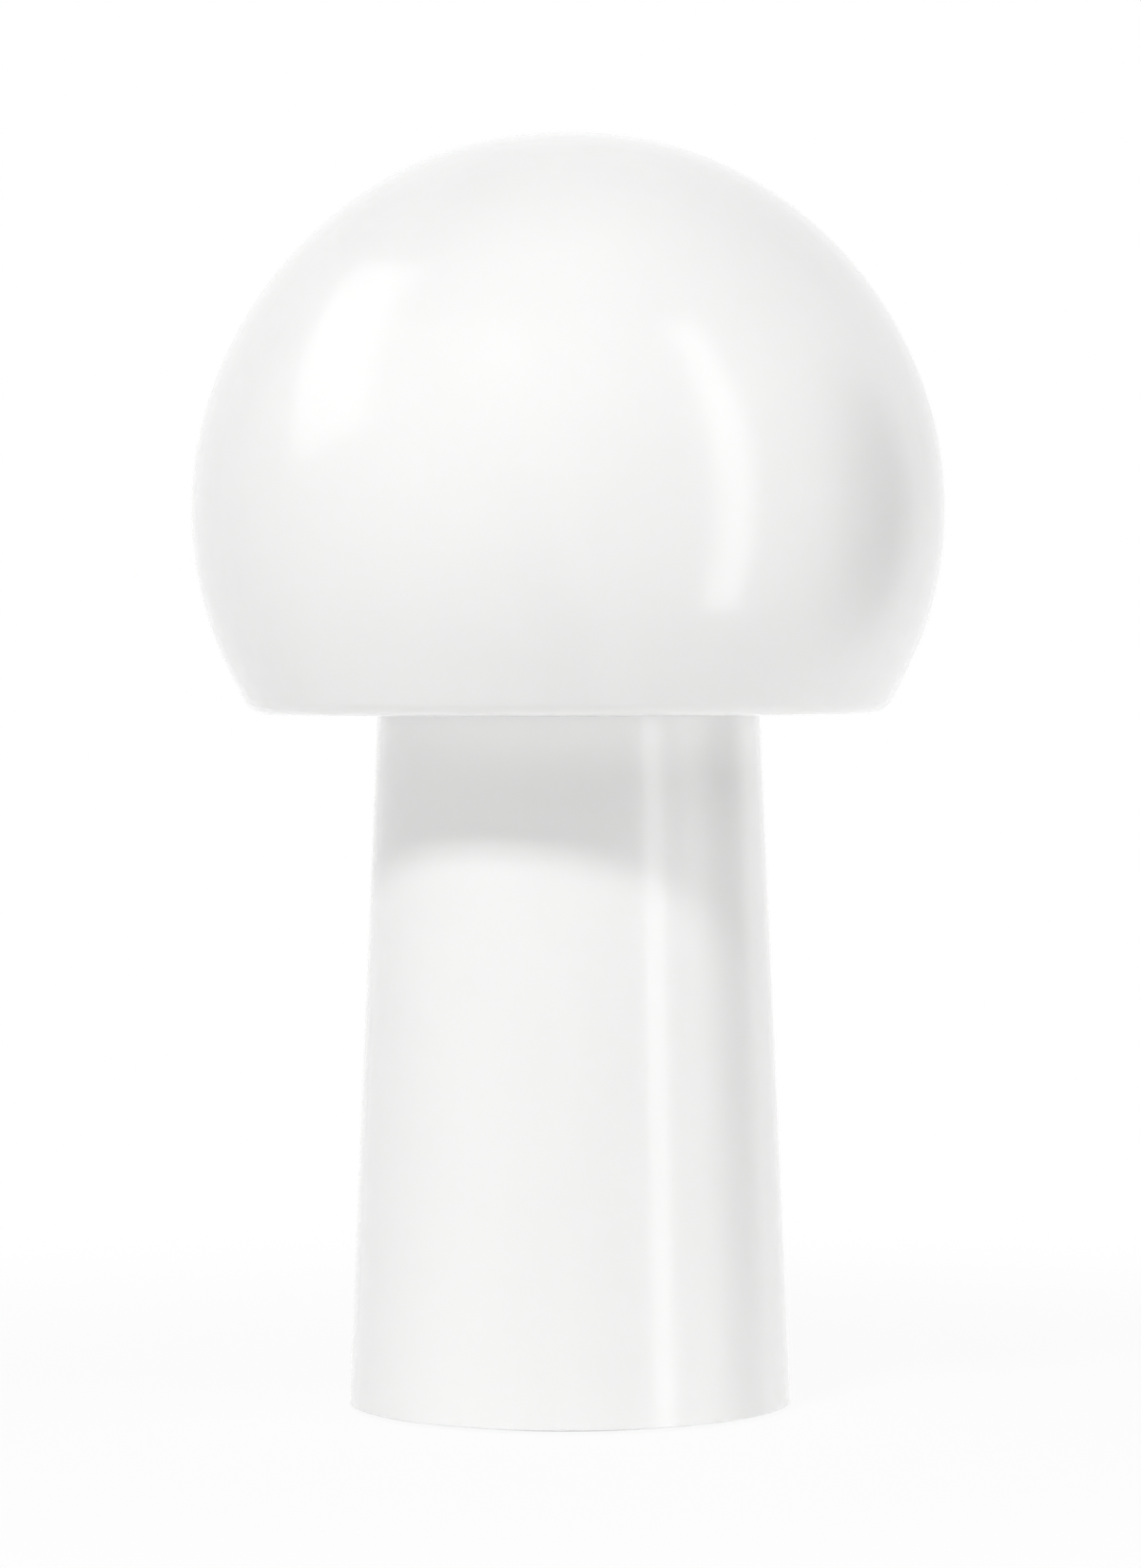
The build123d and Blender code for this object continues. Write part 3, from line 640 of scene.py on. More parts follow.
@dataclass(frozen=True)
class PlatedMetal(Finish):
    """Bright metal with fine turning or drawing lines and a cloudy plate."""

    lines: float = 2200
    line_depth: float = 0.000006
    dulling: float = 0.8
    stretch: Triple = (0.04, 0.04, 1.0)

    def recipe(self) -> Recipe:
        """Metal whose gloss and tone change in clouds, over lines that run round the axis.

        Returns:
            The node tree of the material.
        """
        recipe = self.start(**{"Metallic": 1.0})
        cloud = recipe.noise(160, detail=4, rough=0.6)
        self.mottle(recipe, cloud, self.dulling)
        self.dull(recipe, recipe.noise(420, detail=4), 0.75, 1.3)
        recipe.relief(recipe.noise(self.lines, detail=2, stretch=self.stretch), self.line_depth)
        recipe.relief(recipe.noise(300, detail=3), self.line_depth * 2)
        return recipe


@dataclass(frozen=True)
class CastIron(Finish):
    """Rough sand casting under dark primer."""

    grain: float = 0.00025

    def recipe(self) -> Recipe:
        """Dark paint that pools between the grains of the sand, with a few pinholes.

        Returns:
            The node tree of the material.
        """
        recipe = self.start()
        grain = recipe.noise(520, detail=6, rough=0.65)
        pits = recipe.span(recipe.cells(160), 0, 1, start=0.05, end=0.16)
        self.mottle(recipe, grain, 0.6, 1.5)
        self.dull(recipe, grain, 1.1, 0.8)
        recipe.relief(grain, self.grain)
        recipe.relief(pits, self.grain)
        return recipe


@dataclass(frozen=True)
class Elastomer(Finish):
    """Moulded silicone or rubber with a dusty skin."""

    glow: float = 0.0
    grain: float = 0.00002

    def recipe(self) -> Recipe:
        """Soft body with a fine matte skin and lighter dust in clouds.

        Returns:
            The node tree of the material.
        """
        recipe = self.start(**{"Subsurface Weight": self.glow, "Subsurface Scale": MM,
                               "Sheen Weight": 0.15, "Sheen Roughness": 0.5})
        dust = recipe.noise(240, detail=5, rough=0.6)
        self.mottle(recipe, dust, 0.9, 1.12)
        self.dull(recipe, dust, 0.85, 1.15)
        recipe.relief(recipe.noise(1600, detail=2), self.grain)
        return recipe


@dataclass(frozen=True)
class PressedFelt(Finish):
    """Pressed wool felt: matted fibres of mixed greys."""

    nap: float = 0.0006

    def recipe(self) -> Recipe:
        """Fibres from stretched noise in three directions, with a nap that catches grazing light.

        Returns:
            The node tree of the material.
        """
        recipe = self.start(**{"Sheen Weight": 0.6, "Sheen Roughness": 0.6})
        across = recipe.noise(2400, detail=3, stretch=(0.12, 1, 1))
        along = recipe.noise(2400, detail=3, stretch=(1, 0.12, 1))
        matted = recipe.noise(900, detail=4, rough=0.7)
        fibres = recipe.maths("ADD", recipe.maths("MULTIPLY", across, along), recipe.maths("MULTIPLY", matted, 0.5))
        self.mottle(recipe, fibres, 0.55, 1.35)
        recipe.relief(fibres, self.nap)
        return recipe


@dataclass(frozen=True)
class MouldedPlastic(Finish):
    """Injection moulded plastic with spark texture, flow marks and a little wax."""

    grain_scale: float = 1500
    grain: float = 0.00002
    glow: float = 0.05

    def recipe(self) -> Recipe:
        """Even body with a grain in its skin and slow changes of gloss along the flow.

        Returns:
            The node tree of the material.
        """
        recipe = self.start(**{"Subsurface Weight": self.glow, "Subsurface Scale": MM, "IOR": 1.48})
        flow = recipe.noise(45, detail=2, stretch=(1, 1, 2.5))
        self.mottle(recipe, flow, 0.97, 1.01)
        grain = recipe.noise(self.grain_scale, detail=3, rough=0.6)
        self.dull(recipe, flow, 0.88, 1.12)
        recipe.relief(grain, self.grain)
        return recipe


@dataclass(frozen=True)
class Porcelain(Finish):
    """Glazed electrical porcelain with a few iron specks."""

    speck: Colour = (0.32, 0.25, 0.17)
    wave: float = 0.00003

    def recipe(self) -> Recipe:
        """Cream body with specks, under a thick soft glaze.

        Returns:
            The node tree of the material.
        """
        recipe = self.start(**{"Coat Weight": 1.0, "Coat Roughness": 0.08, "Subsurface Weight": 0.1,
                               "Subsurface Scale": MM})
        specks = recipe.span(recipe.cells(260), 1, 0, start=0.02, end=0.07)
        recipe.feed("Base Color", recipe.tint(specks, self.colour, self.speck))
        self.dull(recipe, recipe.noise(120), 0.8, 1.2)
        recipe.relief(recipe.noise(220, detail=2), self.wave)
        return recipe


@dataclass(frozen=True)
class Insulation(Finish):
    """Extruded insulation of a lead, with a stripe on the earth lead."""

    stripe: Colour | None = None
    stripe_edge: float = 0.0002
    line_depth: float = 0.00001

    def recipe(self) -> Recipe:
        """Waxy skin with draw lines, and the second colour over part of its turn where it has one.

        Returns:
            The node tree of the material.
        """
        recipe = self.start(**{"IOR": 1.5, "Subsurface Weight": 0.04, "Subsurface Scale": MM})
        draw = recipe.noise(1800, detail=2, stretch=(0.06, 1, 0.06))
        tone = recipe.tint(recipe.span(draw, 0, 1), self.shade_of(0.9), self.shade_of(1.1))
        if self.stripe is not None:
            low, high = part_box("lead_earth")
            middle = (low.z + high.z) / 2
            upper = recipe.span(recipe.along("Z"), 0, 1, start=middle, end=middle + self.stripe_edge)
            tone = recipe.tint(upper, tone, self.stripe)
        recipe.feed("Base Color", tone)
        self.dull(recipe, draw, 0.85, 1.2)
        recipe.relief(draw, self.line_depth)
        return recipe


@dataclass(frozen=True)
class BulbGlass(Finish):
    """Blown bulb with a soft white coat on its inside."""

    wave: float = 0.00003

    def recipe(self) -> Recipe:
        """White coat seen through thin clear glass, slightly thinner in clouds.

        Returns:
            The node tree of the material.
        """
        recipe = self.start(**{"IOR": 1.5, "Coat Weight": 1.0, "Coat Roughness": 0.02,
                               "Subsurface Weight": 0.2, "Subsurface Scale": MM})
        cloud = recipe.noise(60, detail=3)
        self.mottle(recipe, cloud, 0.97)
        self.dull(recipe, cloud, 0.9, 1.15)
        recipe.relief(recipe.noise(30, detail=1), self.wave)
        return recipe


@dataclass(frozen=True)
class Solder(Finish):
    """Solder dome with its frosted, dimpled skin."""

    dimple: float = 0.00012

    def recipe(self) -> Recipe:
        """Grey metal with frost and shallow dimples.

        Returns:
            The node tree of the material.
        """
        recipe = self.start(**{"Metallic": 1.0})
        frost = recipe.noise(1500, detail=4)
        self.mottle(recipe, frost, 0.8, 1.1)
        self.dull(recipe, frost, 0.7, 1.3)
        recipe.relief(recipe.cells(700), self.dimple)
        return recipe


FINISHES: dict[Slot, Finish] = {
    finish.slot: finish
    for finish in (
        OpalGlass(Slot.OPAL, (0.87, 0.87, 0.865), 0.17),
        PowderCoat(Slot.WHITE_COAT, (0.79, 0.79, 0.775), 0.38),
        PlatedMetal(Slot.ZINC, (0.62, 0.64, 0.66), 0.30),
        PlatedMetal(Slot.PRESSED, (0.54, 0.55, 0.57), 0.42, lines=900, stretch=(1.0, 0.05, 0.05)),
        CastIron(Slot.IRON, (0.035, 0.035, 0.038), 0.75),
        Elastomer(Slot.SILICONE, (0.70, 0.70, 0.68), 0.55, glow=0.35),
        Elastomer(Slot.RUBBER, (0.014, 0.014, 0.015), 0.7),
        PressedFelt(Slot.FELT, (0.15, 0.15, 0.156), 0.95),
        MouldedPlastic(Slot.COVER, (0.74, 0.74, 0.72), 0.52, grain_scale=1100, grain=0.00005),
        MouldedPlastic(Slot.GLAND, (0.72, 0.72, 0.70), 0.40, glow=0.15),
        MouldedPlastic(Slot.HOLDER, (0.77, 0.77, 0.74), 0.26, grain=0.000008),
        Porcelain(Slot.PORCELAIN, (0.82, 0.80, 0.75), 0.25),
        PlatedMetal(Slot.BRASS, (0.74, 0.52, 0.22), 0.28, dulling=0.72),
        PlatedMetal(Slot.TAG, (0.66, 0.64, 0.60), 0.35, lines=1200),
        MouldedPlastic(Slot.TERMINAL, (0.70, 0.70, 0.66), 0.42, glow=0.25),
        Insulation(Slot.BROWN, (0.055, 0.018, 0.008), 0.38),
        Insulation(Slot.BLUE, (0.012, 0.055, 0.35), 0.38),
        Insulation(Slot.EARTH, (0.10, 0.30, 0.02), 0.38, stripe=(0.72, 0.62, 0.03)),
        BulbGlass(Slot.BULB, (0.84, 0.84, 0.82), 0.22),
        PlatedMetal(Slot.NICKEL, (0.66, 0.64, 0.60), 0.22, lines=3000),
        Porcelain(Slot.BLACK_GLASS, (0.004, 0.004, 0.005), 0.2),
        Solder(Slot.SOLDER, (0.55, 0.55, 0.56), 0.35),
    )
}


# ------------------------------------------------------------------ placing
def slot_of(node: str) -> Slot:
    """The record's slot of a CAD node.

    Args:
        node: Name of the node.

    Returns:
        Its slot.
    """
    for subpart in frame["record"]["subparts"]:
        if subpart["node"] == node:
            return Slot(subpart["material_slot"])
    raise KeyError(node)


def levels(node: str) -> tuple[float, float]:
    """Lowest and highest level of a CAD node, in millimetres."""
    low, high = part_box(node)
    return low.z / MM, high.z / MM


def reach_of(node: str) -> float:
    """Distance in millimetres that a turned CAD node reaches from the axis."""
    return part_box(node)[1].x / MM


def stand_for(piece: bpy.types.Object, node: str) -> None:
    """Dress a piece in the finish of a CAD node, put it in the node's stead and let it ride with its body.

    Args:
        piece: The finished piece, at the origin.
        node: The CAD node that it stands for.
    """
    slot = slot_of(node)
    piece.data.materials.clear()
    piece.data.materials.append(FINISHES[slot].material())
    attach(piece, frame["nodes"][node]["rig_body"])
    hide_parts(node)
    LOG.info("%s: %d faces in place of %s, finish %s", piece.name, len(piece.data.polygons), node, slot.value)


def edges_eased(widths: dict[str, float]) -> None:
    """Put an eased copy in the stead of each CAD node, by the width of its easing in millimetres."""
    for node, width in widths.items():
        stand_for(eased_copy(node, width), node)


# ------------------------------------------------------------------ the two glasses
@dataclass(frozen=True)
class DomeShade:
    """Blown opal dome with a flat floor and the beaded neck turned down from it."""

    radius: float = 100.0
    wall: float = 3.0
    centre: float = 238.4
    floor: float = 184.1
    corner: float = 7.0
    neck_radius: float = 41.6
    neck_root: float = 2.0
    neck_end: float = 171.1
    bead_proud: float = 0.8
    bead_height: float = 4.0
    bead_round: float = 0.9
    swell: Sequence[Triple] = ((0.25, 20, 10), (-0.35, 55, 18), (-0.30, 116, 7))
    columns: int = 288

    def ball_corner(self, radius: float, floor: float, corner: float) -> tuple[tuple[float, float], float]:
        """Middle of the corner between a ball and a floor.

        Args:
            radius: Radius of the ball.
            floor: Height of the floor.
            corner: Radius of the corner.

        Returns:
            The middle as (radius, height), and the angle in degrees at which the corner leaves the ball.
        """
        height, reach = floor + corner - self.centre, radius - corner
        return (float(np.sqrt(reach**2 - height**2)), floor + corner), float(np.degrees(np.arcsin(height / reach)))

    def hand_blown(self, outline: np.ndarray) -> np.ndarray:
        """Outer side with the slow swells of a hand-blown ball.

        A point at polar angle a below the crown moves away from the middle by the sum of
        size * exp(-((a - place) / width)^2), which fades out past the widest part of the corner.

        Args:
            outline: (radius, height) rows of the outer side.

        Returns:
            The moved rows.
        """
        ray = outline - (0.0, self.centre)
        length = np.linalg.norm(ray, axis=1, keepdims=True)
        polar = np.degrees(np.arctan2(ray[:, :1], ray[:, 1:]))
        bumps = sum(size * np.exp(-(((polar - place) / width) ** 2)) for size, place, width in self.swell)
        fade = ease(polar / 8) * (1 - ease((polar - 121) / 8))
        return outline + ray / length * bumps * fade

    def outline(self) -> np.ndarray:
        """Closed outline of the glass, from the crown down the outer side and back up the inside.

        Returns:
            An array of (radius, height) rows.
        """
        inner_floor, inner_round = self.floor + self.wall, self.corner - self.wall
        outer, outer_angle = self.ball_corner(self.radius, self.floor, self.corner)
        inner, inner_angle = self.ball_corner(self.radius - self.wall, inner_floor, inner_round)
        root = (self.neck_radius + self.neck_root, self.floor - self.neck_root)
        bore, bead = self.neck_radius - self.wall, self.neck_radius + self.bead_proud
        bead_top, lip = self.neck_end + self.bead_height, self.neck_end + self.bead_round
        axis = (0.0, self.centre)
        outer_side = np.vstack([arc(axis, self.radius, 90, outer_angle, 150),
                                arc(outer, self.corner, outer_angle, -90, 28)[1:]])
        return np.vstack([
            self.hand_blown(outer_side),
            run((outer[0], self.floor), (root[0], self.floor), 14)[1:],
            arc(root, self.neck_root, 90, 180, 10)[1:],
            run((self.neck_radius, root[1]), (self.neck_radius, bead_top), 5)[1:],
            arc((self.neck_radius, bead_top - self.bead_proud), self.bead_proud, 90, 0, 8)[1:],
            run((bead, bead_top - self.bead_proud), (bead, lip), 3)[1:],
            arc((bead - self.bead_round, lip), self.bead_round, 0, -90, 8)[1:],
            run((bead - self.bead_round, self.neck_end), (bore + self.bead_round, self.neck_end), 3)[1:],
            arc((bore + self.bead_round, lip), self.bead_round, -90, -180, 8)[1:],
            run((bore, lip), (bore, root[1]), 6)[1:],
            arc(root, self.neck_root + self.wall, 180, 90, 14)[1:],
            run((root[0], inner_floor), (inner[0], inner_floor), 12)[1:],
            arc(inner, inner_round, -90, inner_angle, 14)[1:],
            arc(axis, self.radius - self.wall, inner_angle, 90, 70)[1:],
        ])

    def build(self) -> None:
        """Turn the glass and put it in place."""
        glass = mesh_piece("dome_glass", [lathe(self.outline(), self.columns, closed=False)])
        stand_for(glass, "shade_glass")


@dataclass(frozen=True)
class GlassFoot:
    """Conical opal foot with ground ends, a seat bevelled in its mouth and the drilled cord outlet."""

    bottom_radius: float = 58.85
    top_radius: float = 50.85
    bottom: float = 1.0
    top: float = 183.7
    ground_top: float = 184.0
    wall: float = 4.0
    mouth_radius: float = 46.94
    bevel: float = 2.1
    edge: float = 0.5
    top_edge: float = 0.15
    hole_height: float = 11.85
    hole_radius: float = 5.35
    hole_cells: int = 12
    hole_rows: float = 1.5
    columns: int = 256

    def outer(self, height: np.ndarray | float) -> np.ndarray | float:
        """Outer radius at a height: it falls evenly from the bottom to the top."""
        share = (height - self.bottom) / (self.top - self.bottom)
        return self.bottom_radius + (self.top_radius - self.bottom_radius) * share

    def patch_heights(self) -> np.ndarray:
        """Heights of the rows round the hole."""
        half = self.hole_cells * self.hole_rows / 2
        return np.linspace(self.hole_height - half, self.hole_height + half, self.hole_cells + 1)

    def side(self, low: float, high: float) -> np.ndarray:
        """Heights of the rows of a side: the rows round the hole, and wider ones above them."""
        near = self.patch_heights()
        return np.concatenate([[low], near, np.linspace(near[-1], high, 30)[1:]])

    def outline(self) -> tuple[np.ndarray, int, int]:
        """Closed outline of the glass.

        Returns:
            The (radius, height) rows, and the first row round the hole on the outer and on the inner side.
        """
        low, high, edge = self.bottom + 1.2 * self.edge, self.ground_top - 2.0, self.edge
        outer = self.side(low, high)
        seat = self.top - self.bevel
        inner = self.side(low, seat - 0.4)[::-1]
        lower = rounded([(self.outer(low) - self.wall, low, 0),
                         (self.outer(self.bottom) - self.wall, self.bottom, edge),
                         (self.outer(self.bottom), self.bottom, edge),
                         (self.outer(low), low, 0)], steps=5)[1:-1]
        upper = rounded([(self.outer(high), high, 0), (self.outer(self.ground_top), self.ground_top, self.top_edge),
                         (self.mouth_radius + self.bevel + 0.3, self.ground_top, 0.2),
                         (self.mouth_radius, seat, 0.2),
                         (self.outer(seat - 0.4) - self.wall, seat - 0.4, 0)], steps=5)[1:-1]
        rows = np.vstack([lower, np.column_stack([self.outer(outer), outer]), upper,
                          np.column_stack([self.outer(inner) - self.wall, inner])])
        return rows, len(lower) + 1, len(rows) - 2 - self.hole_cells

    def hole_rings(self, thickness: float) -> np.ndarray:
        """Rings between the square cut from one side and the round hole.

        Ring j of a border point P and the hole's point C on the same ray from its middle is P + (C - P) j / n
        in the XZ plane, and its Y puts it back on the cone.

        Args:
            thickness: How far the side lies inside the outer one.

        Returns:
            A grid of points, its rows going from the square to the hole.
        """
        cells = self.hole_cells
        step = TURN / self.columns
        angle = (np.arange(cells + 1) - cells / 2) * step
        heights = self.patch_heights()
        border_angle = np.concatenate([angle[:-1], np.full(cells, angle[-1]), angle[:0:-1], np.full(cells, angle[0])])
        border_height = np.concatenate([np.full(cells, heights[0]), heights[:-1], np.full(cells, heights[-1]),
                                        heights[:0:-1]])
        border_x = -(self.outer(border_height) - thickness) * np.sin(border_angle)
        ray = np.arctan2(border_height - self.hole_height, border_x)
        hole_x, hole_z = self.hole_radius * np.cos(ray), self.hole_height + self.hole_radius * np.sin(ray)
        share = np.linspace(0, 1, 7)[:, None]
        x = border_x + (hole_x - border_x) * share
        z = border_height + (hole_z - border_height) * share
        y = np.sqrt((self.outer(z) - thickness) ** 2 - x**2)
        return np.stack([x, y, z], axis=-1)

    def build(self) -> None:
        """Turn the cone, cut a square from both sides at the back and close it round the hole."""
        rows, outer_row, inner_row = self.outline()
        cone = lathe(rows, self.columns)
        first = self.columns // 4 - self.hole_cells // 2
        keep = np.ones((len(rows), self.columns), bool)
        for row in (outer_row, inner_row):
            keep[row:row + self.hole_cells, first:first + self.hole_cells] = False
        cone.keep = keep
        outer, inner = self.hole_rings(0.0), self.hole_rings(self.wall)
        bore = Patch(np.stack([outer[-1], inner[-1]]))
        glass = mesh_piece("foot_glass", [cone, Patch(outer), Patch(inner), bore])
        stand_for(glass, "base_glass")


# ------------------------------------------------------------------ spring gallery
@dataclass(frozen=True)
class SpringGallery:
    """Spun steel cup with three lanced spring fingers, its gasket and the cushion under the neck."""

    wall: float = 0.8
    inner: float = 43.74
    floor: float = 168.75
    corner: float = 2.5
    land_rise: float = 1.2
    land_radius: float = 23.0
    hole: float = 5.15
    bead: float = 42.44
    finger_width: float = 13.0
    finger_slot: float = 1.2
    fingers: int = 3
    seat_low: float = 181.6
    seat_top: float = 183.7
    seat_radius: float = 46.94
    gasket_gap: float = 0.1
    gasket_thick: float = 0.6
    gasket_round: float = 0.08
    cushion_width: float = 4.0
    cushion_round: float = 0.5
    finger_gap: float = 0.35
    finger_columns: int = 13
    between_columns: int = 46
    cut_edge: float = 0.15
    probe_square: float = 0.0285

    def seat_line(self, depth: float) -> tuple[tuple[float, float], tuple[float, float]]:
        """Line along the bevel of the foot.

        Args:
            depth: How far the line lies in front of the bevel.

        Returns:
            The two ends as (radius, height).
        """
        shift = depth * np.sqrt(2)
        rise = self.seat_top - self.seat_low
        return (self.seat_radius - shift, self.seat_low), (self.seat_radius + rise - shift, self.seat_top)

    def window(self) -> tuple[float, float, float]:
        """Heights of the root of a finger, its tip and the top of the window round it.

        Returns:
            The three heights.
        """
        low, _ = self.seat_line(2 * self.gasket_gap + self.gasket_thick)
        outer = self.inner + self.wall
        top = low[1] - (low[0] - outer) - self.wall
        return self.floor + self.corner, top - self.finger_slot, top

    def sheet(self) -> Patch:
        """Inner face of the cup as one sheet, with the windows left out and the fingers bowed inwards.

        A finger's point at share t of its height moves inwards by bow * 4t(1-t), the parabola through its root,
        its crest and its tip.

        Returns:
            The sheet on a grid.
        """
        root, tip, top = self.window()
        flare_low, flare_top = self.seat_line(2 * self.gasket_gap + self.gasket_thick + self.wall)
        meet = (self.inner, flare_low[1] - (flare_low[0] - self.inner))
        land = self.floor + self.land_rise
        lower = np.vstack([
            run((self.hole, land), (self.land_radius - 0.6, land), 5),
            [(self.land_radius + 0.05, land - 0.15), (self.land_radius + 0.6, land - 0.6),
             (self.land_radius + 1.15, self.floor + 0.15), (self.land_radius + 1.8, self.floor)],
            run((self.land_radius + 4, self.floor), (self.inner - self.corner, self.floor), 6),
            arc((self.inner - self.corner, root), self.corner, -90, 0, 9)[1:],
        ])
        leaf = run((self.inner, root), (self.inner, tip), 15)[1:]
        upper = np.vstack([
            run((self.inner, tip), (self.inner, top), 2)[1:],
            run((self.inner, top), (self.inner, meet[1] - 0.3), 3)[1:],
            [(self.inner + 0.12, meet[1] + 0.05), (self.inner + 0.35, meet[1] + 0.33)],
            run((self.inner + 0.6, meet[1] + 0.6), flare_top, 5),
        ])
        outline = np.vstack([lower, leaf, upper])
        first, last = len(lower) - 1, len(lower) - 1 + len(leaf)
        half_leaf = self.finger_width / 2 / self.inner
        half_window = half_leaf + self.finger_slot / self.inner
        sector = TURN / self.fingers
        spread = np.concatenate([
            np.linspace(-half_leaf, half_leaf, self.finger_columns), [half_window],
            np.linspace(half_window, sector - half_window, self.between_columns)[1:-1], [sector - half_window],
        ])
        angle = np.concatenate([spread + turn * sector for turn in range(self.fingers)])
        radius = np.repeat(outline[:, :1], len(angle), axis=1)
        height = np.repeat(outline[:, 1:], len(angle), axis=1)
        share = np.clip((outline[:, 1] - root) / (tip - root), 0, 1)
        share[:first] = 0
        column = np.tile(np.arange(len(spread)), self.fingers)
        on_leaf = column < self.finger_columns
        bow = self.inner - (self.bead + self.finger_gap)
        radius = radius - bow * (4 * share * (1 - share))[:, None] * on_leaf[None, :]
        keep = np.ones((len(outline) - 1, len(angle)), bool)
        slot = (column == self.finger_columns - 1) | (column == len(spread) - 1)
        keep[first:last + 1, slot] = False
        keep[last:last + 1, column < self.finger_columns - 1] = False
        return Patch(turned(radius, height, angle), keep=keep)

    def build_cup(self) -> None:
        """Give the sheet its thickness outwards and ease its cut edges.

        A face whose squared distance from the origin is nearest to probe_square tells which way the sheet faces.
        """
        cup = mesh_piece("spring_cup", [self.sheet()])
        work = bmesh.new()
        work.from_mesh(cup.data)
        probe = min(work.faces, key=lambda face: abs(face.calc_center_median().length_squared - self.probe_square))
        inward = probe.normal.dot(probe.calc_center_median() * Vector((-1, -1, 0))) > 0
        work.free()
        wall = cup.modifiers.new("wall", "SOLIDIFY")
        wall.thickness = self.wall * MM
        wall.offset = -1 if inward else 1
        wall.use_even_offset = True
        add_easing(cup, self.cut_edge, 60)
        stand_for(settle(cup, 35), "gallery_cup")

    def build_soft(self) -> None:
        """Turn the gasket on the bevel and the cushion on the floor."""
        back_low, back_top = self.seat_line(self.gasket_gap)
        front_low, front_top = self.seat_line(self.gasket_gap + self.gasket_thick)
        gasket = rounded([(*corner, self.gasket_round) for corner in (back_low, back_top, front_top, front_low)])
        stand_for(mesh_piece("bevel_gasket", [lathe(gasket, 192)]), "gallery_gasket")
        low, high = levels("shade_cushion")
        outer, soft = reach_of("shade_cushion"), self.cushion_round
        inner = outer - self.cushion_width
        ring = rounded([(inner, low, soft), (outer, low, soft), (outer, high, soft), (inner, high, soft)], steps=6)
        stand_for(mesh_piece("neck_cushion", [lathe(ring, 192)]), "shade_cushion")

    def build(self) -> None:
        """Build the cup and its two silicone rings."""
        self.build_cup()
        self.build_soft()


# ------------------------------------------------------------------ clamping stack
@dataclass(frozen=True)
class ClampStack:
    """Hollow threaded stem with its spacer, washers and nuts, the clamp plate and the ballast."""

    stem_radius: float = 5.0
    stem_bore: float = 3.5
    thread_pitch: float = 1.0
    thread_depth: float = 0.5
    thread_low: float = 24.0
    thread_high: float = 158.0
    thread_rows: int = 6
    chamfer: float = 0.6
    bore_chamfer: float = 0.3
    spacer_outer: float = 8.0
    spacer_inner: float = 5.15

    def stem_outline(self, low: float, high: float) -> np.ndarray:
        """Closed outline of the stem, with close rows where it is threaded.

        Args:
            low: Height of its lower end.
            high: Height of its upper end.

        Returns:
            An array of (radius, height) rows.
        """
        step = self.thread_pitch / self.thread_rows
        heights = np.concatenate([
            np.arange(low + self.chamfer, self.thread_low, step), np.linspace(self.thread_low, self.thread_high, 12),
            np.arange(self.thread_high + step, high - self.chamfer, step),
        ])
        outer = np.column_stack([np.full(len(heights), self.stem_radius), heights])
        face, bore, cut = self.stem_radius - self.chamfer, self.stem_bore, self.bore_chamfer
        lower = [(bore, low + cut), (bore + cut, low), (face, low)]
        upper = [(face, high), (bore + cut, high), (bore, high - cut)]
        return np.vstack([lower, outer, upper, run((bore, high - 4), (bore, low + 4), 6)])

    def thread(self, radius: np.ndarray, height: np.ndarray, angle: np.ndarray) -> np.ndarray:
        """Radial shift of the stem's thread.

        The flank is a triangle wave of height / pitch - angle / turn, so that it climbs with a right hand, and
        it fades out where the plain middle starts.

        Args:
            radius: Radii of the points.
            height: Heights of the points.
            angle: Angles of the points.

        Returns:
            The shift, between minus the depth and 0.
        """
        phase = (height / self.thread_pitch - angle / TURN) % 1
        wave = np.abs(2 * phase - 1)
        cut = 1 - ease(height - self.thread_low + 1) * (1 - ease(height - self.thread_high))
        return np.where(radius > self.stem_radius - 0.01, -self.thread_depth * wave * cut, 0.0)

    def build(self) -> None:
        """Build the stem and the spacer, and ease the pressed and cut pieces."""
        outline = self.stem_outline(*levels("stem_tube"))
        stem = mesh_piece("threaded_stem", [lathe(outline, 40, shift=self.thread)], crease=50)
        stand_for(stem, "stem_tube")
        low, high = levels("spacer_tube")
        outline = rounded([(self.spacer_inner, low, 0.3), (self.spacer_outer, low, 0.5),
                           (self.spacer_outer, high, 0.5), (self.spacer_inner, high, 0.3)])
        stand_for(mesh_piece("stem_spacer", [lathe(outline, 64)]), "spacer_tube")
        self.turn_ring("seat_washer", 0.12, 64)
        self.turn_ring("edge_ring", 0.25, 192)
        edges_eased({"bottom_nut": 0.12, "jam_nut": 0.12, "bottom_lock_washer": 0.08, "top_lock_washer": 0.08,
                     "earth_tag": 0.08, "clamp_plate": 0.25, "ballast_disc": 0.3})

    def turn_ring(self, node: str, rounding: float, columns: int) -> None:
        """Turn a plain ring over a CAD node's own corners.

        The corners are the least and greatest radius of its mesh at its lowest and highest level.

        Args:
            node: Name of the node.
            rounding: Rounding of the four corners, in millimetres.
            columns: Number of points round the axis.
        """
        mesh = frame["nodes"][node].data
        points = np.zeros(len(mesh.vertices) * 3)
        mesh.vertices.foreach_get("co", points)
        points = points.reshape(-1, 3) / MM
        radius, height = np.hypot(points[:, 0], points[:, 1]), points[:, 2]
        low, high = height.min(), height.max()
        at_low, at_high = radius[height < low + 0.01], radius[height > high - 0.01]
        outline = rounded([(at_low.min(), low, rounding), (at_low.max(), low, rounding),
                           (at_high.max(), high, rounding), (at_high.min(), high, rounding)])
        stand_for(mesh_piece(node + "_turned", [lathe(outline, columns)]), node)


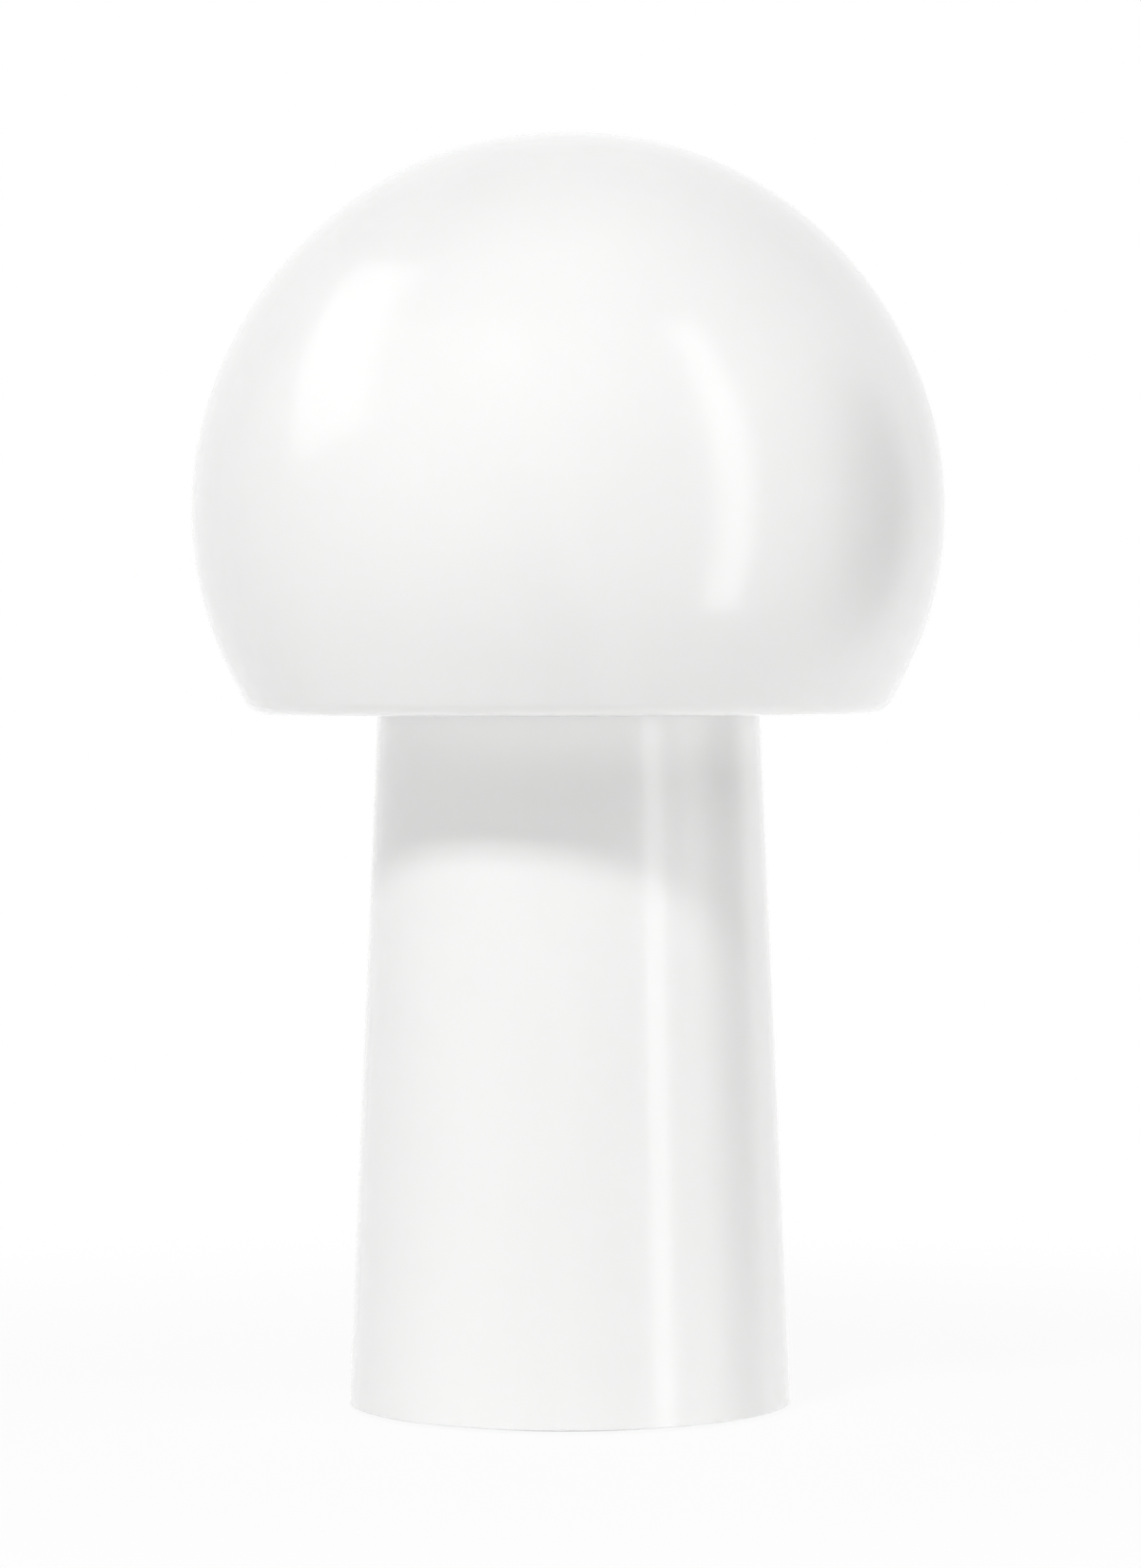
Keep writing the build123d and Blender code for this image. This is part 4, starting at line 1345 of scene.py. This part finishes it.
# ------------------------------------------------------------------ underside
@dataclass(frozen=True)
class FootCover:
    """Moulded cover with its pillars and screws, and the felt ring on which the lamp stands."""

    felt_round: float = 0.45
    felt_edge: float = 0.15
    felt_width: float = 17.0
    felt_half_flat: float = 8.0
    felt_columns: int = 420
    nap: float = 0.09

    def felt(self) -> None:
        """Felt ring with a soft, slightly uneven upper edge.

        The outline is a rounded strip, and each of its points above the table moves by nap * sin waves of its
        angle and row, whose lengths share no common measure.
        """
        outer, top = reach_of("felt_ring"), levels("felt_ring")[1]
        inner = outer - self.felt_width
        outline = rounded([(inner, 0, self.felt_edge), (outer, 0, self.felt_edge), (outer, top, self.felt_round),
                           (inner, top, self.felt_round)], steps=5)
        angle = round_angles(self.felt_columns)
        row = np.arange(len(outline))[:, None]
        wave = np.sin(37 * angle + 2.1 * row) * np.sin(89 * angle - 1.3 * row) * np.sin(151 * angle + 0.7 * row)
        offset = outline[:, :1] - (inner + outer) / 2
        side = np.abs(offset) > self.felt_half_flat
        radius = outline[:, :1] - np.abs(self.nap * wave) * np.sign(offset) * side
        height = np.broadcast_to(outline[:, 1:], radius.shape)
        stand_for(mesh_piece("felt_pad", [Patch(turned(radius, height, angle), wrap_rows=True)]), "felt_ring")

    def build(self) -> None:
        """Build the felt and ease the moulded and turned pieces."""
        self.felt()
        edges_eased({"foot_cover": 0.25, "cover_pillars": 0.12, "cover_screws": 0.08})


# ------------------------------------------------------------------ cord outlet and wiring
@dataclass(frozen=True)
class CordOutlet:
    """Gland at the back of the foot, its nut, and the clamp bar that holds a cord under the plate."""

    level: float = 11.85
    barrel: float = 5.2
    flange: float = 7.0
    bore: float = 3.35
    length: float = 14.0
    flange_thick: float = 2.2
    bottom_radius: float = 58.85
    bottom: float = 1.0
    fall: float = 8.0 / 182.7
    glass_gap: float = 0.1
    columns: int = 64

    def cone_face(self, x: np.ndarray, z: np.ndarray) -> np.ndarray:
        """Y of the back of the foot, a small gap off the glass."""
        radius = self.bottom_radius + self.glass_gap - self.fall * (z - self.bottom)
        return np.sqrt(radius**2 - x**2)

    def gland(self) -> None:
        """Gland turned about the outlet, its flange fitted to the cone.

        A row (r, y) of the outline at angle v is (r cos v, y, level + r sin v), and on the rows that touch the
        glass y is that of the cone there.
        """
        wall = self.bottom_radius - self.fall * (self.level - self.bottom)
        head, tail = wall + self.flange_thick, wall - self.length
        outline = np.vstack([
            [(self.bore, tail + 0.4), (self.bore + 0.15, tail + 0.1), (self.bore + 0.4, tail)],
            [(self.barrel - 0.4, tail), (self.barrel - 0.1, tail + 0.12), (self.barrel, tail + 0.4)],
            run((self.barrel, tail + 2), (self.barrel, wall - 1.5), 4),
            run((self.barrel, 0), (self.flange, 0), 4),
            [(self.flange, head - 0.8), (self.flange - 0.12, head - 0.45), (self.flange - 0.7, head - 0.06),
             (self.flange - 1.0, head)],
            [(self.bore + 0.8, head), (self.bore + 0.3, head - 0.12), (self.bore, head - 0.7)],
        ])
        angle = round_angles(self.columns)
        x, z = outline[:, :1] * np.cos(angle), self.level + outline[:, :1] * np.sin(angle)
        y = np.where(outline[:, 1:] == 0, self.cone_face(x, z), outline[:, 1:])
        y = np.broadcast_to(y, x.shape)
        stand_for(mesh_piece("outlet_gland", [Patch(np.stack([x, y, z], axis=-1), wrap_rows=True)]), "cord_gland")

    def build(self) -> None:
        """Build the gland and ease the cut pieces."""
        self.gland()
        edges_eased({"gland_nut": 0.2, "cord_clamp_bar": 0.25, "cord_clamp_screws": 0.08})


@dataclass(frozen=True)
class Wiring:
    """Terminal block with its screws and the three short inner leads."""

    lead_easing: float = 0.05

    def build(self) -> None:
        """Build the leads and ease the block and its screws."""
        for node in ("lead_live", "lead_neutral", "lead_earth"):
            stand_for(eased_copy(node, self.lead_easing), node)
        edges_eased({"terminal_block": 0.15, "block_screws": 0.08, "terminal_screws": 0.06})


# ------------------------------------------------------------------ lampholder
@dataclass(frozen=True)
class Lampholder:
    """Two-part moulded holder with a porcelain insert and the brass contacts."""

    radius: float = 20.0
    wall: float = 2.4
    pitch: float = 3.629
    thread_middle: float = 12.95
    thread_depth: float = 0.55
    sleeve_wall: float = 0.5
    ribs: int = 48
    rib_depth: float = 0.45
    rib_fade: float = 1.2
    stem_hole: float = 5.1
    hub: float = 8.65
    cavity: float = 16.0
    mouth: float = 14.8
    columns: int = 288
    sleeve_columns: int = 96

    def ribbed(self, low: float, high: float) -> Shift:
        """Grip ribs on an outer wall between two heights.

        The shift is -depth * (0.5 - 0.5 cos(ribs * angle)), faded at both ends, where the radius is full.

        Args:
            low: Height at which the ribs start.
            high: Height at which they end.

        Returns:
            The shift as a function of radius, height and angle.
        """
        def shift(radius: np.ndarray, height: np.ndarray, angle: np.ndarray) -> np.ndarray:
            """Radial shift at each point.

            Args:
                radius: Radii of the points.
                height: Their heights.
                angle: Their angles.

            Returns:
                The shift in millimetres.
            """
            wave = 0.5 - 0.5 * np.cos(self.ribs * angle)
            fade = between(height, low, self.rib_fade, high, self.rib_fade)
            return np.where(radius > self.radius - 0.01, -self.rib_depth * wave * fade, 0.0)
        return shift

    def cap(self) -> None:
        """Lower half: a hub on the stem, a coned floor and a ribbed wall."""
        low, high = levels("lampholder_cap")
        hub, rim = self.hub, self.radius
        shoulder, top = low + (rim - hub) / 2, low + 18
        spigot = rim - self.wall / 2 - 0.2
        ledge_top, stem_top = low + 19, low + 9
        walls = [(rim, height, 0.0) for height in np.linspace(shoulder + 1.2, top - 0.8, 12)]
        outline = rounded([
            (self.stem_hole, low, 0.2), (hub, low, 0.6), (rim, shoulder, 0.9), *walls, (rim, top, 0.4),
            (spigot, top, 0.1), (spigot, high, 0.3), (rim - self.wall, high, 0.2),
            (rim - self.wall, ledge_top, 0.1), (self.cavity, ledge_top, 0.2),
            (self.cavity, shoulder + self.wall, 0.6),
            (hub, stem_top, 0.4), (self.stem_hole, stem_top, 0.2),
        ])
        patch = lathe(outline, self.columns, shift=self.ribbed(shoulder + 2.0, top - 1.2))
        stand_for(mesh_piece("holder_cap", [patch]), "lampholder_cap")

    def shell(self) -> None:
        """Upper half: a plain wall with an inturned rounded mouth."""
        low, high = levels("lampholder_shell")
        rim, mouth = self.radius, self.mouth
        lap, lap_top = rim - self.wall / 2, low + 5.1
        walls = [(rim, height, 0.0) for height in np.linspace(low + 1.0, low + 12.0, 14)]
        outline = rounded([
            (lap, low, 0.15), (rim, low, 0.4), *walls, (rim, high, 2.2), (mouth, high, 0.9),
            (mouth, high - self.wall, 0.6), (rim - self.wall, high - 2 * self.wall, 1.0),
            (rim - self.wall, lap_top + self.wall, 0.4), (self.cavity, lap_top + self.wall / 2, 0.3),
            (self.cavity, lap_top, 0.2), (lap, lap_top, 0.15),
        ], steps=6)
        patch = lathe(outline, self.columns, shift=self.ribbed(low + 1.4, low + 11.0))
        stand_for(mesh_piece("holder_shell", [patch]), "lampholder_shell")

    def sleeve(self) -> None:
        """Brass sleeve whose two faces follow a rolled thread and go plain at the mouth and at the foot."""
        low, high = levels("screw_shell")
        inner = self.thread_middle + self.thread_depth
        heights = np.arange(low + 1.5, high, self.pitch / 14)
        foot = inner - 3.0
        rows = np.vstack([
            [(foot, low + 0.1), (foot + 0.1, low), (inner - 0.3, low), (inner + 0.3, low + 0.15),
             (inner + self.sleeve_wall, low + 0.7)],
            np.column_stack([np.full(len(heights), inner + self.sleeve_wall), heights]),
            [(inner + self.sleeve_wall, high - 0.1), (inner + 0.25, high), (inner, high - 0.1)],
            np.column_stack([np.full(len(heights), inner), heights])[::-1],
            [(inner, low + 0.9), (inner - 0.4, low + self.sleeve_wall), (foot + 0.1, low + self.sleeve_wall),
             (foot, low + self.sleeve_wall - 0.1)],
        ])
        side = np.concatenate([np.zeros(5), np.ones(len(heights)), np.zeros(3), np.ones(len(heights)), np.zeros(4)])
        shift = rolled_thread(self.thread_depth, self.pitch, side, (low + 1.5, 2.0, high - 0.8, 1.2))
        stand_for(mesh_piece("brass_sleeve", [lathe(rows, self.sleeve_columns, shift=shift)], crease=60), "screw_shell")

    def build(self) -> None:
        """Build the holder and ease the small pieces of its inside."""
        self.cap()
        self.shell()
        self.sleeve()
        edges_eased({"lampholder_insert": 0.25, "shell_rivets": 0.08, "centre_contact": 0.06,
                     "contact_screw": 0.08})


# ------------------------------------------------------------------ bulb
@dataclass(frozen=True)
class GlobeBulb:
    """Globe bulb with a soft white coat, its rolled cap, insulator and solder button."""

    globe: float = 22.5
    neck: float = 12.5
    flank: float = 14.0
    wall: float = 1.0
    pitch: float = 3.629
    thread_middle: float = 12.65
    thread_depth: float = 0.55
    cap_wall: float = 0.4
    cap_taper: float = 3.0
    cap_columns: int = 96
    insulator_tip: float = 7.2

    def glass(self) -> None:
        """Globe whose neck flares in to a tube inside the cap, open at the bottom."""
        low, high = levels("bulb_globe")
        centre = (0.0, high - self.globe)
        drop = float(np.sqrt((self.globe + self.flank) ** 2 - (self.neck + self.flank) ** 2))
        side = (self.neck + self.flank, centre[1] - drop)
        meet = float(np.degrees(np.arcsin(-drop / (self.globe + self.flank))))

        def face(inset: float) -> np.ndarray:
            """Rows of one face of the glass.

            Args:
                inset: Distance from the outer face.

            Returns:
                An array of (radius, height) rows, from the crown down.
            """
            return np.vstack([
                arc(centre, self.globe - inset, 90, meet, 60),
                arc(side, self.flank + inset, 180 + meet, 180, 24)[1:],
                run((self.neck - inset, side[1]), (self.neck - inset, low), 4)[1:],
            ])

        outline = np.vstack([face(0.0), face(self.wall)[::-1]])
        stand_for(mesh_piece("globe_glass", [lathe(outline, 128, closed=False)]), "bulb_globe")

    def cap(self) -> None:
        """Nickel-plated cap whose two faces follow a rolled thread, above a tapered shoulder."""
        low, high = levels("bulb_cap")
        outer, taper, wall = self.thread_middle + self.thread_depth, self.cap_taper, self.cap_wall
        heights = np.arange(low + taper + 0.3, high - 0.6, self.pitch / 14)
        rows = np.vstack([
            [(outer - taper - wall, low), (outer - taper, low), (outer - taper / 2, low + taper / 2 + 0.15),
             (outer - 0.3, low + taper - 0.15)],
            np.column_stack([np.full(len(heights), outer), heights]),
            [(outer, high - 0.3), (outer - 0.05, high - 0.05), (outer - wall / 2, high), (outer - wall, high - 0.1)],
            np.column_stack([np.full(len(heights), outer - wall), heights])[::-1],
            [(outer - wall, low + taper), (outer - wall - taper / 2, low + taper / 2 + 0.15)],
        ])
        side = np.concatenate([np.zeros(4), np.ones(len(heights)), np.zeros(4), np.ones(len(heights)), np.zeros(2)])
        shift = rolled_thread(self.thread_depth, self.pitch, side, (low + taper, 1.5, high - 3.2, 2.0))
        stand_for(mesh_piece("bulb_cap_rolled", [lathe(rows, self.cap_columns, shift=shift)], crease=60), "bulb_cap")

    def foot(self) -> None:
        """Black glass insulator and the domed solder button."""
        low, high = levels("bulb_insulator")
        outer, tip = reach_of("bulb_insulator"), self.insulator_tip
        rows = np.vstack([[(0.0, low)], rounded([(0.0, low, 0), (tip, low, 0.4), (outer, high - 0.75, 0.4),
                                                 (outer, high, 0.2), (0.0, high, 0)], steps=5)[1:-1], [(0.0, high)]])
        stand_for(mesh_piece("cap_insulator", [lathe(rows, 64, closed=False)]), "bulb_insulator")
        low, high = levels("bulb_contact")
        radius = reach_of("bulb_contact")
        ball = (radius**2 + (high - low) ** 2) / (2 * (high - low))
        reach = float(np.degrees(np.arcsin(radius / ball)))
        rows = np.vstack([arc((0.0, low + ball), ball, -90, -90 + reach, 16), [(0.0, high)]])
        stand_for(mesh_piece("solder_button", [lathe(rows, 64, closed=False)]), "bulb_contact")

    def build(self) -> None:
        """Build the glass, the cap and its foot."""
        self.glass()
        self.cap()
        self.foot()


# ------------------------------------------------------------------ studio
def rectangle(name: str, finish: str, half: tuple[float, float]) -> tuple[bpy.types.Object, bpy.types.NodeTree]:
    """Flat rectangle about the origin that faces up.

    Args:
        name: Name of the object.
        finish: Name of its material.
        half: Half of its width and of its height, in metres.

    Returns:
        The object, not linked to the scene yet, and the empty node tree of its material.
    """
    mesh = bpy.data.meshes.new(name)
    corners = [(across * half[0], up * half[1], 0) for across, up in ((-1, -1), (1, -1), (1, 1), (-1, 1))]
    mesh.from_pydata(corners, [], [(0, 1, 2, 3)])
    material = bpy.data.materials.new(finish)
    material.use_nodes = True
    material.node_tree.nodes.clear()
    mesh.materials.append(material)
    return bpy.data.objects.new(name, mesh), material.node_tree


def fade_outwards(tree: bpy.types.NodeTree, stretch: Triple, ends: tuple[float, float],
                  values: tuple[float, float]) -> Socket:
    """Value that eases from one number to another with the distance from an object's origin.

    Args:
        tree: The nodes of the object's material.
        stretch: Factors on the distances along the three axes.
        ends: Distances at which the change starts and ends.
        values: The value inside the first and outside the second of them.

    Returns:
        The value's socket.
    """
    place = tree.nodes.new("ShaderNodeTexCoord")
    share = tree.nodes.new("ShaderNodeMapping")
    share.inputs["Scale"].default_value = stretch
    distance = tree.nodes.new("ShaderNodeVectorMath")
    distance.operation = "LENGTH"
    fade = tree.nodes.new("ShaderNodeMapRange")
    fade.interpolation_type = "SMOOTHSTEP"
    for socket, number in zip(("From Min", "From Max", "To Min", "To Max"), (*ends, *values)):
        fade.inputs[socket].default_value = number
    tree.links.new(place.outputs["Object"], share.inputs["Vector"])
    tree.links.new(share.outputs["Vector"], distance.inputs[0])
    tree.links.new(distance.outputs["Value"], fade.inputs["Value"])
    return fade.outputs["Result"]


@dataclass(frozen=True)
class Panel:
    """A flat panel of the studio that faces the lamp.

    Azimuth is measured from the camera's side towards the right of the picture, elevation upwards. The panel's
    middle then moves sideways and up in its own plane, and the panel turns there.
    """

    name: str
    azimuth: float
    elevation: float
    distance: float
    width: float
    height: float
    sideways: float = 0.0
    up: float = 0.0
    turn: float = 0.0

    def place(self, middle: Vector) -> Matrix:
        """Place of the panel.

        Args:
            middle: The point that the panel faces, in metres.

        Returns:
            The panel's place and turn.
        """
        azimuth, elevation = radians(self.azimuth), radians(self.elevation)
        away = Vector((np.sin(azimuth) * np.cos(elevation), -np.cos(azimuth) * np.cos(elevation), np.sin(elevation)))
        upright = (Vector((0, 0, 1)) - away * away.z).normalized()
        across = upright.cross(away)
        facing = Matrix((across, upright, away)).transposed().to_4x4()
        there = middle + away * self.distance + across * self.sideways + upright * self.up
        return Matrix.Translation(there) @ facing @ Matrix.Rotation(radians(self.turn), 4, "Z")


class Shines(Enum):
    """What a lamp's light is for."""

    BODY = "lights surfaces"
    GLOSS = "shows in reflections"


@dataclass(frozen=True)
class Lamp(Panel):
    """A soft light panel."""

    strength: float = 1.0
    shines: Shines = Shines.BODY

    def build(self, middle: Vector) -> None:
        """Hang the light, unseen by the camera.

        Args:
            middle: The point that the light faces, in metres.
        """
        light = bpy.data.lights.new(self.name, "AREA")
        light.shape = "RECTANGLE"
        light.size, light.size_y = self.width, self.height
        light.energy = self.strength
        panel = bpy.data.objects.new(self.name, light)
        panel.matrix_world = self.place(middle)
        panel.visible_camera = False
        panel.visible_glossy = self.shines is Shines.GLOSS
        panel.visible_diffuse = self.shines is Shines.BODY
        bpy.context.scene.collection.objects.link(panel)


@dataclass(frozen=True)
class Flag(Panel):
    """A dark panel that only reflections show. Its tone goes from its own in the middle to white at the edge."""

    tone: float = 0.0
    core: float = 0.15

    def build(self, middle: Vector) -> None:
        """Stand the panel up, seen by nothing but glossy surfaces.

        Args:
            middle: The point that the panel faces, in metres.
        """
        half = (self.width / 2, self.height / 2)
        panel, tree = rectangle(self.name, self.name, half)
        tone = fade_outwards(tree, (1 / half[0], 1 / half[1], 0), (self.core, 1.0), (self.tone, 1.0))
        glow = tree.nodes.new("ShaderNodeEmission")
        output = tree.nodes.new("ShaderNodeOutputMaterial")
        tree.links.new(tone, glow.inputs["Strength"])
        tree.links.new(glow.outputs["Emission"], output.inputs["Surface"])
        panel.matrix_world = self.place(middle)
        for ray in ("camera", "diffuse", "transmission", "shadow", "volume_scatter"):
            setattr(panel, "visible_" + ray, False)
        bpy.context.scene.collection.objects.link(panel)


@dataclass(frozen=True)
class Studio:
    """Pale floor, white surroundings, soft light panels and the camera of the photograph."""

    middle: Triple = (0.0, 0.0, 0.22)
    camera_place: Triple = (0.0078, -1.4526, 0.1966)
    lens: float = 125.36
    pitch: float = 1.227
    yaw: float = 0.291
    roll: float = -0.115
    world_glow: float = 0.06
    floor_half: float = 6.0
    floor_tone: float = 0.80
    near_white: float = 0.93
    fade_start: float = 0.12
    fade_end: float = 0.50
    lamps: Sequence[Lamp] = (
        Lamp("key", -23, 46, 2.0, 0.35, 0.25, strength=18.3),
        Lamp("left_box", -94, 32, 1.3, 0.60, 1.06, sideways=0.12, up=0.09, turn=32, strength=1.30,
             shines=Shines.GLOSS),
        Lamp("left_fill", -94, 32, 1.3, 0.60, 1.06, sideways=0.12, up=0.09, turn=32, strength=3.5),
        Lamp("right_strip", 54, 5, 0.9, 0.18, 1.02, sideways=-0.078, up=-0.06, strength=0.85, shines=Shines.GLOSS),
        Lamp("right_tall_strip", 54, 5, 0.9, 0.19, 1.50, sideways=-0.088, up=0.21, strength=0.90,
             shines=Shines.GLOSS),
        Lamp("front_fill", 8, 38, 2.0, 1.2, 0.9, strength=3.6),
        Lamp("right_fill", 60, 38, 2.0, 1.2, 0.9, strength=7.0),
        Lamp("high_fill", 20, 62, 2.0, 1.0, 1.0, strength=3.1),
        Lamp("top_box", 0, 88, 1.8, 1.2, 1.2, strength=3.2),
        Lamp("low_left", -70, -22, 1.4, 0.7, 0.6, strength=4.2),
        Lamp("low_front", 20, -22, 1.4, 0.7, 0.6, strength=4.45),
        Lamp("low_right", 100, -22, 1.4, 0.7, 0.6, strength=4.6),
        Lamp("back_fill", 180, 25, 2.0, 1.4, 1.2, strength=6.5),
    )
    flags: Sequence[Flag] = (
        Flag("right_flag", 100, 1, 0.9, 0.95, 1.3, tone=0.2),
    )

    def build_camera(self) -> None:
        """Camera at the photograph's viewing angle."""
        lens = bpy.data.cameras.new("photo_camera")
        lens.lens = self.lens
        lens.sensor_width = 36
        lens.sensor_fit = "AUTO"
        lens.clip_end = 50
        camera = bpy.data.objects.new("photo_camera", lens)
        camera.matrix_world = (
            Matrix.Translation(self.camera_place) @ Matrix.Rotation(radians(self.yaw), 4, "Z")
            @ Matrix.Rotation(radians(90 - self.pitch), 4, "X") @ Matrix.Rotation(radians(self.roll), 4, "Z")
        )
        bpy.context.scene.collection.objects.link(camera)
        bpy.context.scene.camera = camera

    def build_floor(self) -> None:
        """Plain pale floor that looks white and keeps a faint shadow near the lamp.

        What the eye sees is light on paint mixed with plain white, and the white's share rises from near_white at
        fade_start from the axis to 1 at fade_end, so that no horizon shows.
        """
        floor, tree = rectangle("floor", "pale_floor", (self.floor_half, self.floor_half))
        floor.visible_glossy = False
        floor.visible_shadow = False
        bpy.context.scene.collection.objects.link(floor)
        paint = tree.nodes.new("ShaderNodeBsdfDiffuse")
        paint.inputs["Color"].default_value = (self.floor_tone, self.floor_tone, self.floor_tone, 1)
        glow = tree.nodes.new("ShaderNodeEmission")
        glow.inputs["Strength"].default_value = 1.0
        white = fade_outwards(tree, (1, 1, 1), (self.fade_start, self.fade_end), (self.near_white, 1.0))
        share = tree.nodes.new("ShaderNodeMath")
        share.operation = "MULTIPLY"
        tree.links.new(self.background_rays(tree), share.inputs[0])
        tree.links.new(white, share.inputs[1])
        mix = tree.nodes.new("ShaderNodeMixShader")
        tree.links.new(share.outputs["Value"], mix.inputs["Fac"])
        tree.links.new(paint.outputs["BSDF"], mix.inputs[1])
        tree.links.new(glow.outputs["Emission"], mix.inputs[2])
        output = tree.nodes.new("ShaderNodeOutputMaterial")
        tree.links.new(mix.outputs["Shader"], output.inputs["Surface"])

    def background_rays(self, tree: bpy.types.NodeTree) -> Socket:
        """Which rays show the background.

        Args:
            tree: The nodes to add to.

        Returns:
            1 for a ray from the camera, off gloss or through glass, and 0 for any other.
        """
        rays = tree.nodes.new("ShaderNodeLightPath")
        seen = rays.outputs["Is Camera Ray"]
        for kind in ("Is Glossy Ray", "Is Transmission Ray"):
            greater = tree.nodes.new("ShaderNodeMath")
            greater.operation = "MAXIMUM"
            tree.links.new(seen, greater.inputs[0])
            tree.links.new(rays.outputs[kind], greater.inputs[1])
            seen = greater.outputs["Value"]
        return seen

    def build_world(self) -> None:
        """White surroundings for the camera and for reflections, and a weaker even glow on the object."""
        world = bpy.data.worlds.new("studio")
        world.use_nodes = True
        bpy.context.scene.world = world
        tree = world.node_tree
        background = tree.nodes["Background"]
        background.inputs["Color"].default_value = (1, 1, 1, 1)
        strength = tree.nodes.new("ShaderNodeMapRange")
        strength.inputs["To Min"].default_value = self.world_glow
        strength.inputs["To Max"].default_value = 1.0
        tree.links.new(self.background_rays(tree), strength.inputs["Value"])
        tree.links.new(strength.outputs["Result"], background.inputs["Strength"])

    def build(self) -> None:
        """Set up the floor, the surroundings, the lights and the camera."""
        bpy.context.scene.view_settings.view_transform = "Standard"
        self.build_floor()
        self.build_world()
        for panel in (*self.lamps, *self.flags):
            panel.build(Vector(self.middle))
        self.build_camera()


# ------------------------------------------------------------------ the whole lamp
def main() -> None:
    """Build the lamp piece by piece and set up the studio."""
    logging.basicConfig(level=logging.INFO, format="%(message)s")
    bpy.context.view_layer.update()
    for assembly in (DomeShade(), GlassFoot(), SpringGallery(), ClampStack(), FootCover(), CordOutlet(), Wiring(),
                     Lampholder(), GlobeBulb()):
        LOG.info("building %s", type(assembly).__name__)
        assembly.build()
    Studio().build()


if __name__ == "__main__":
    main()
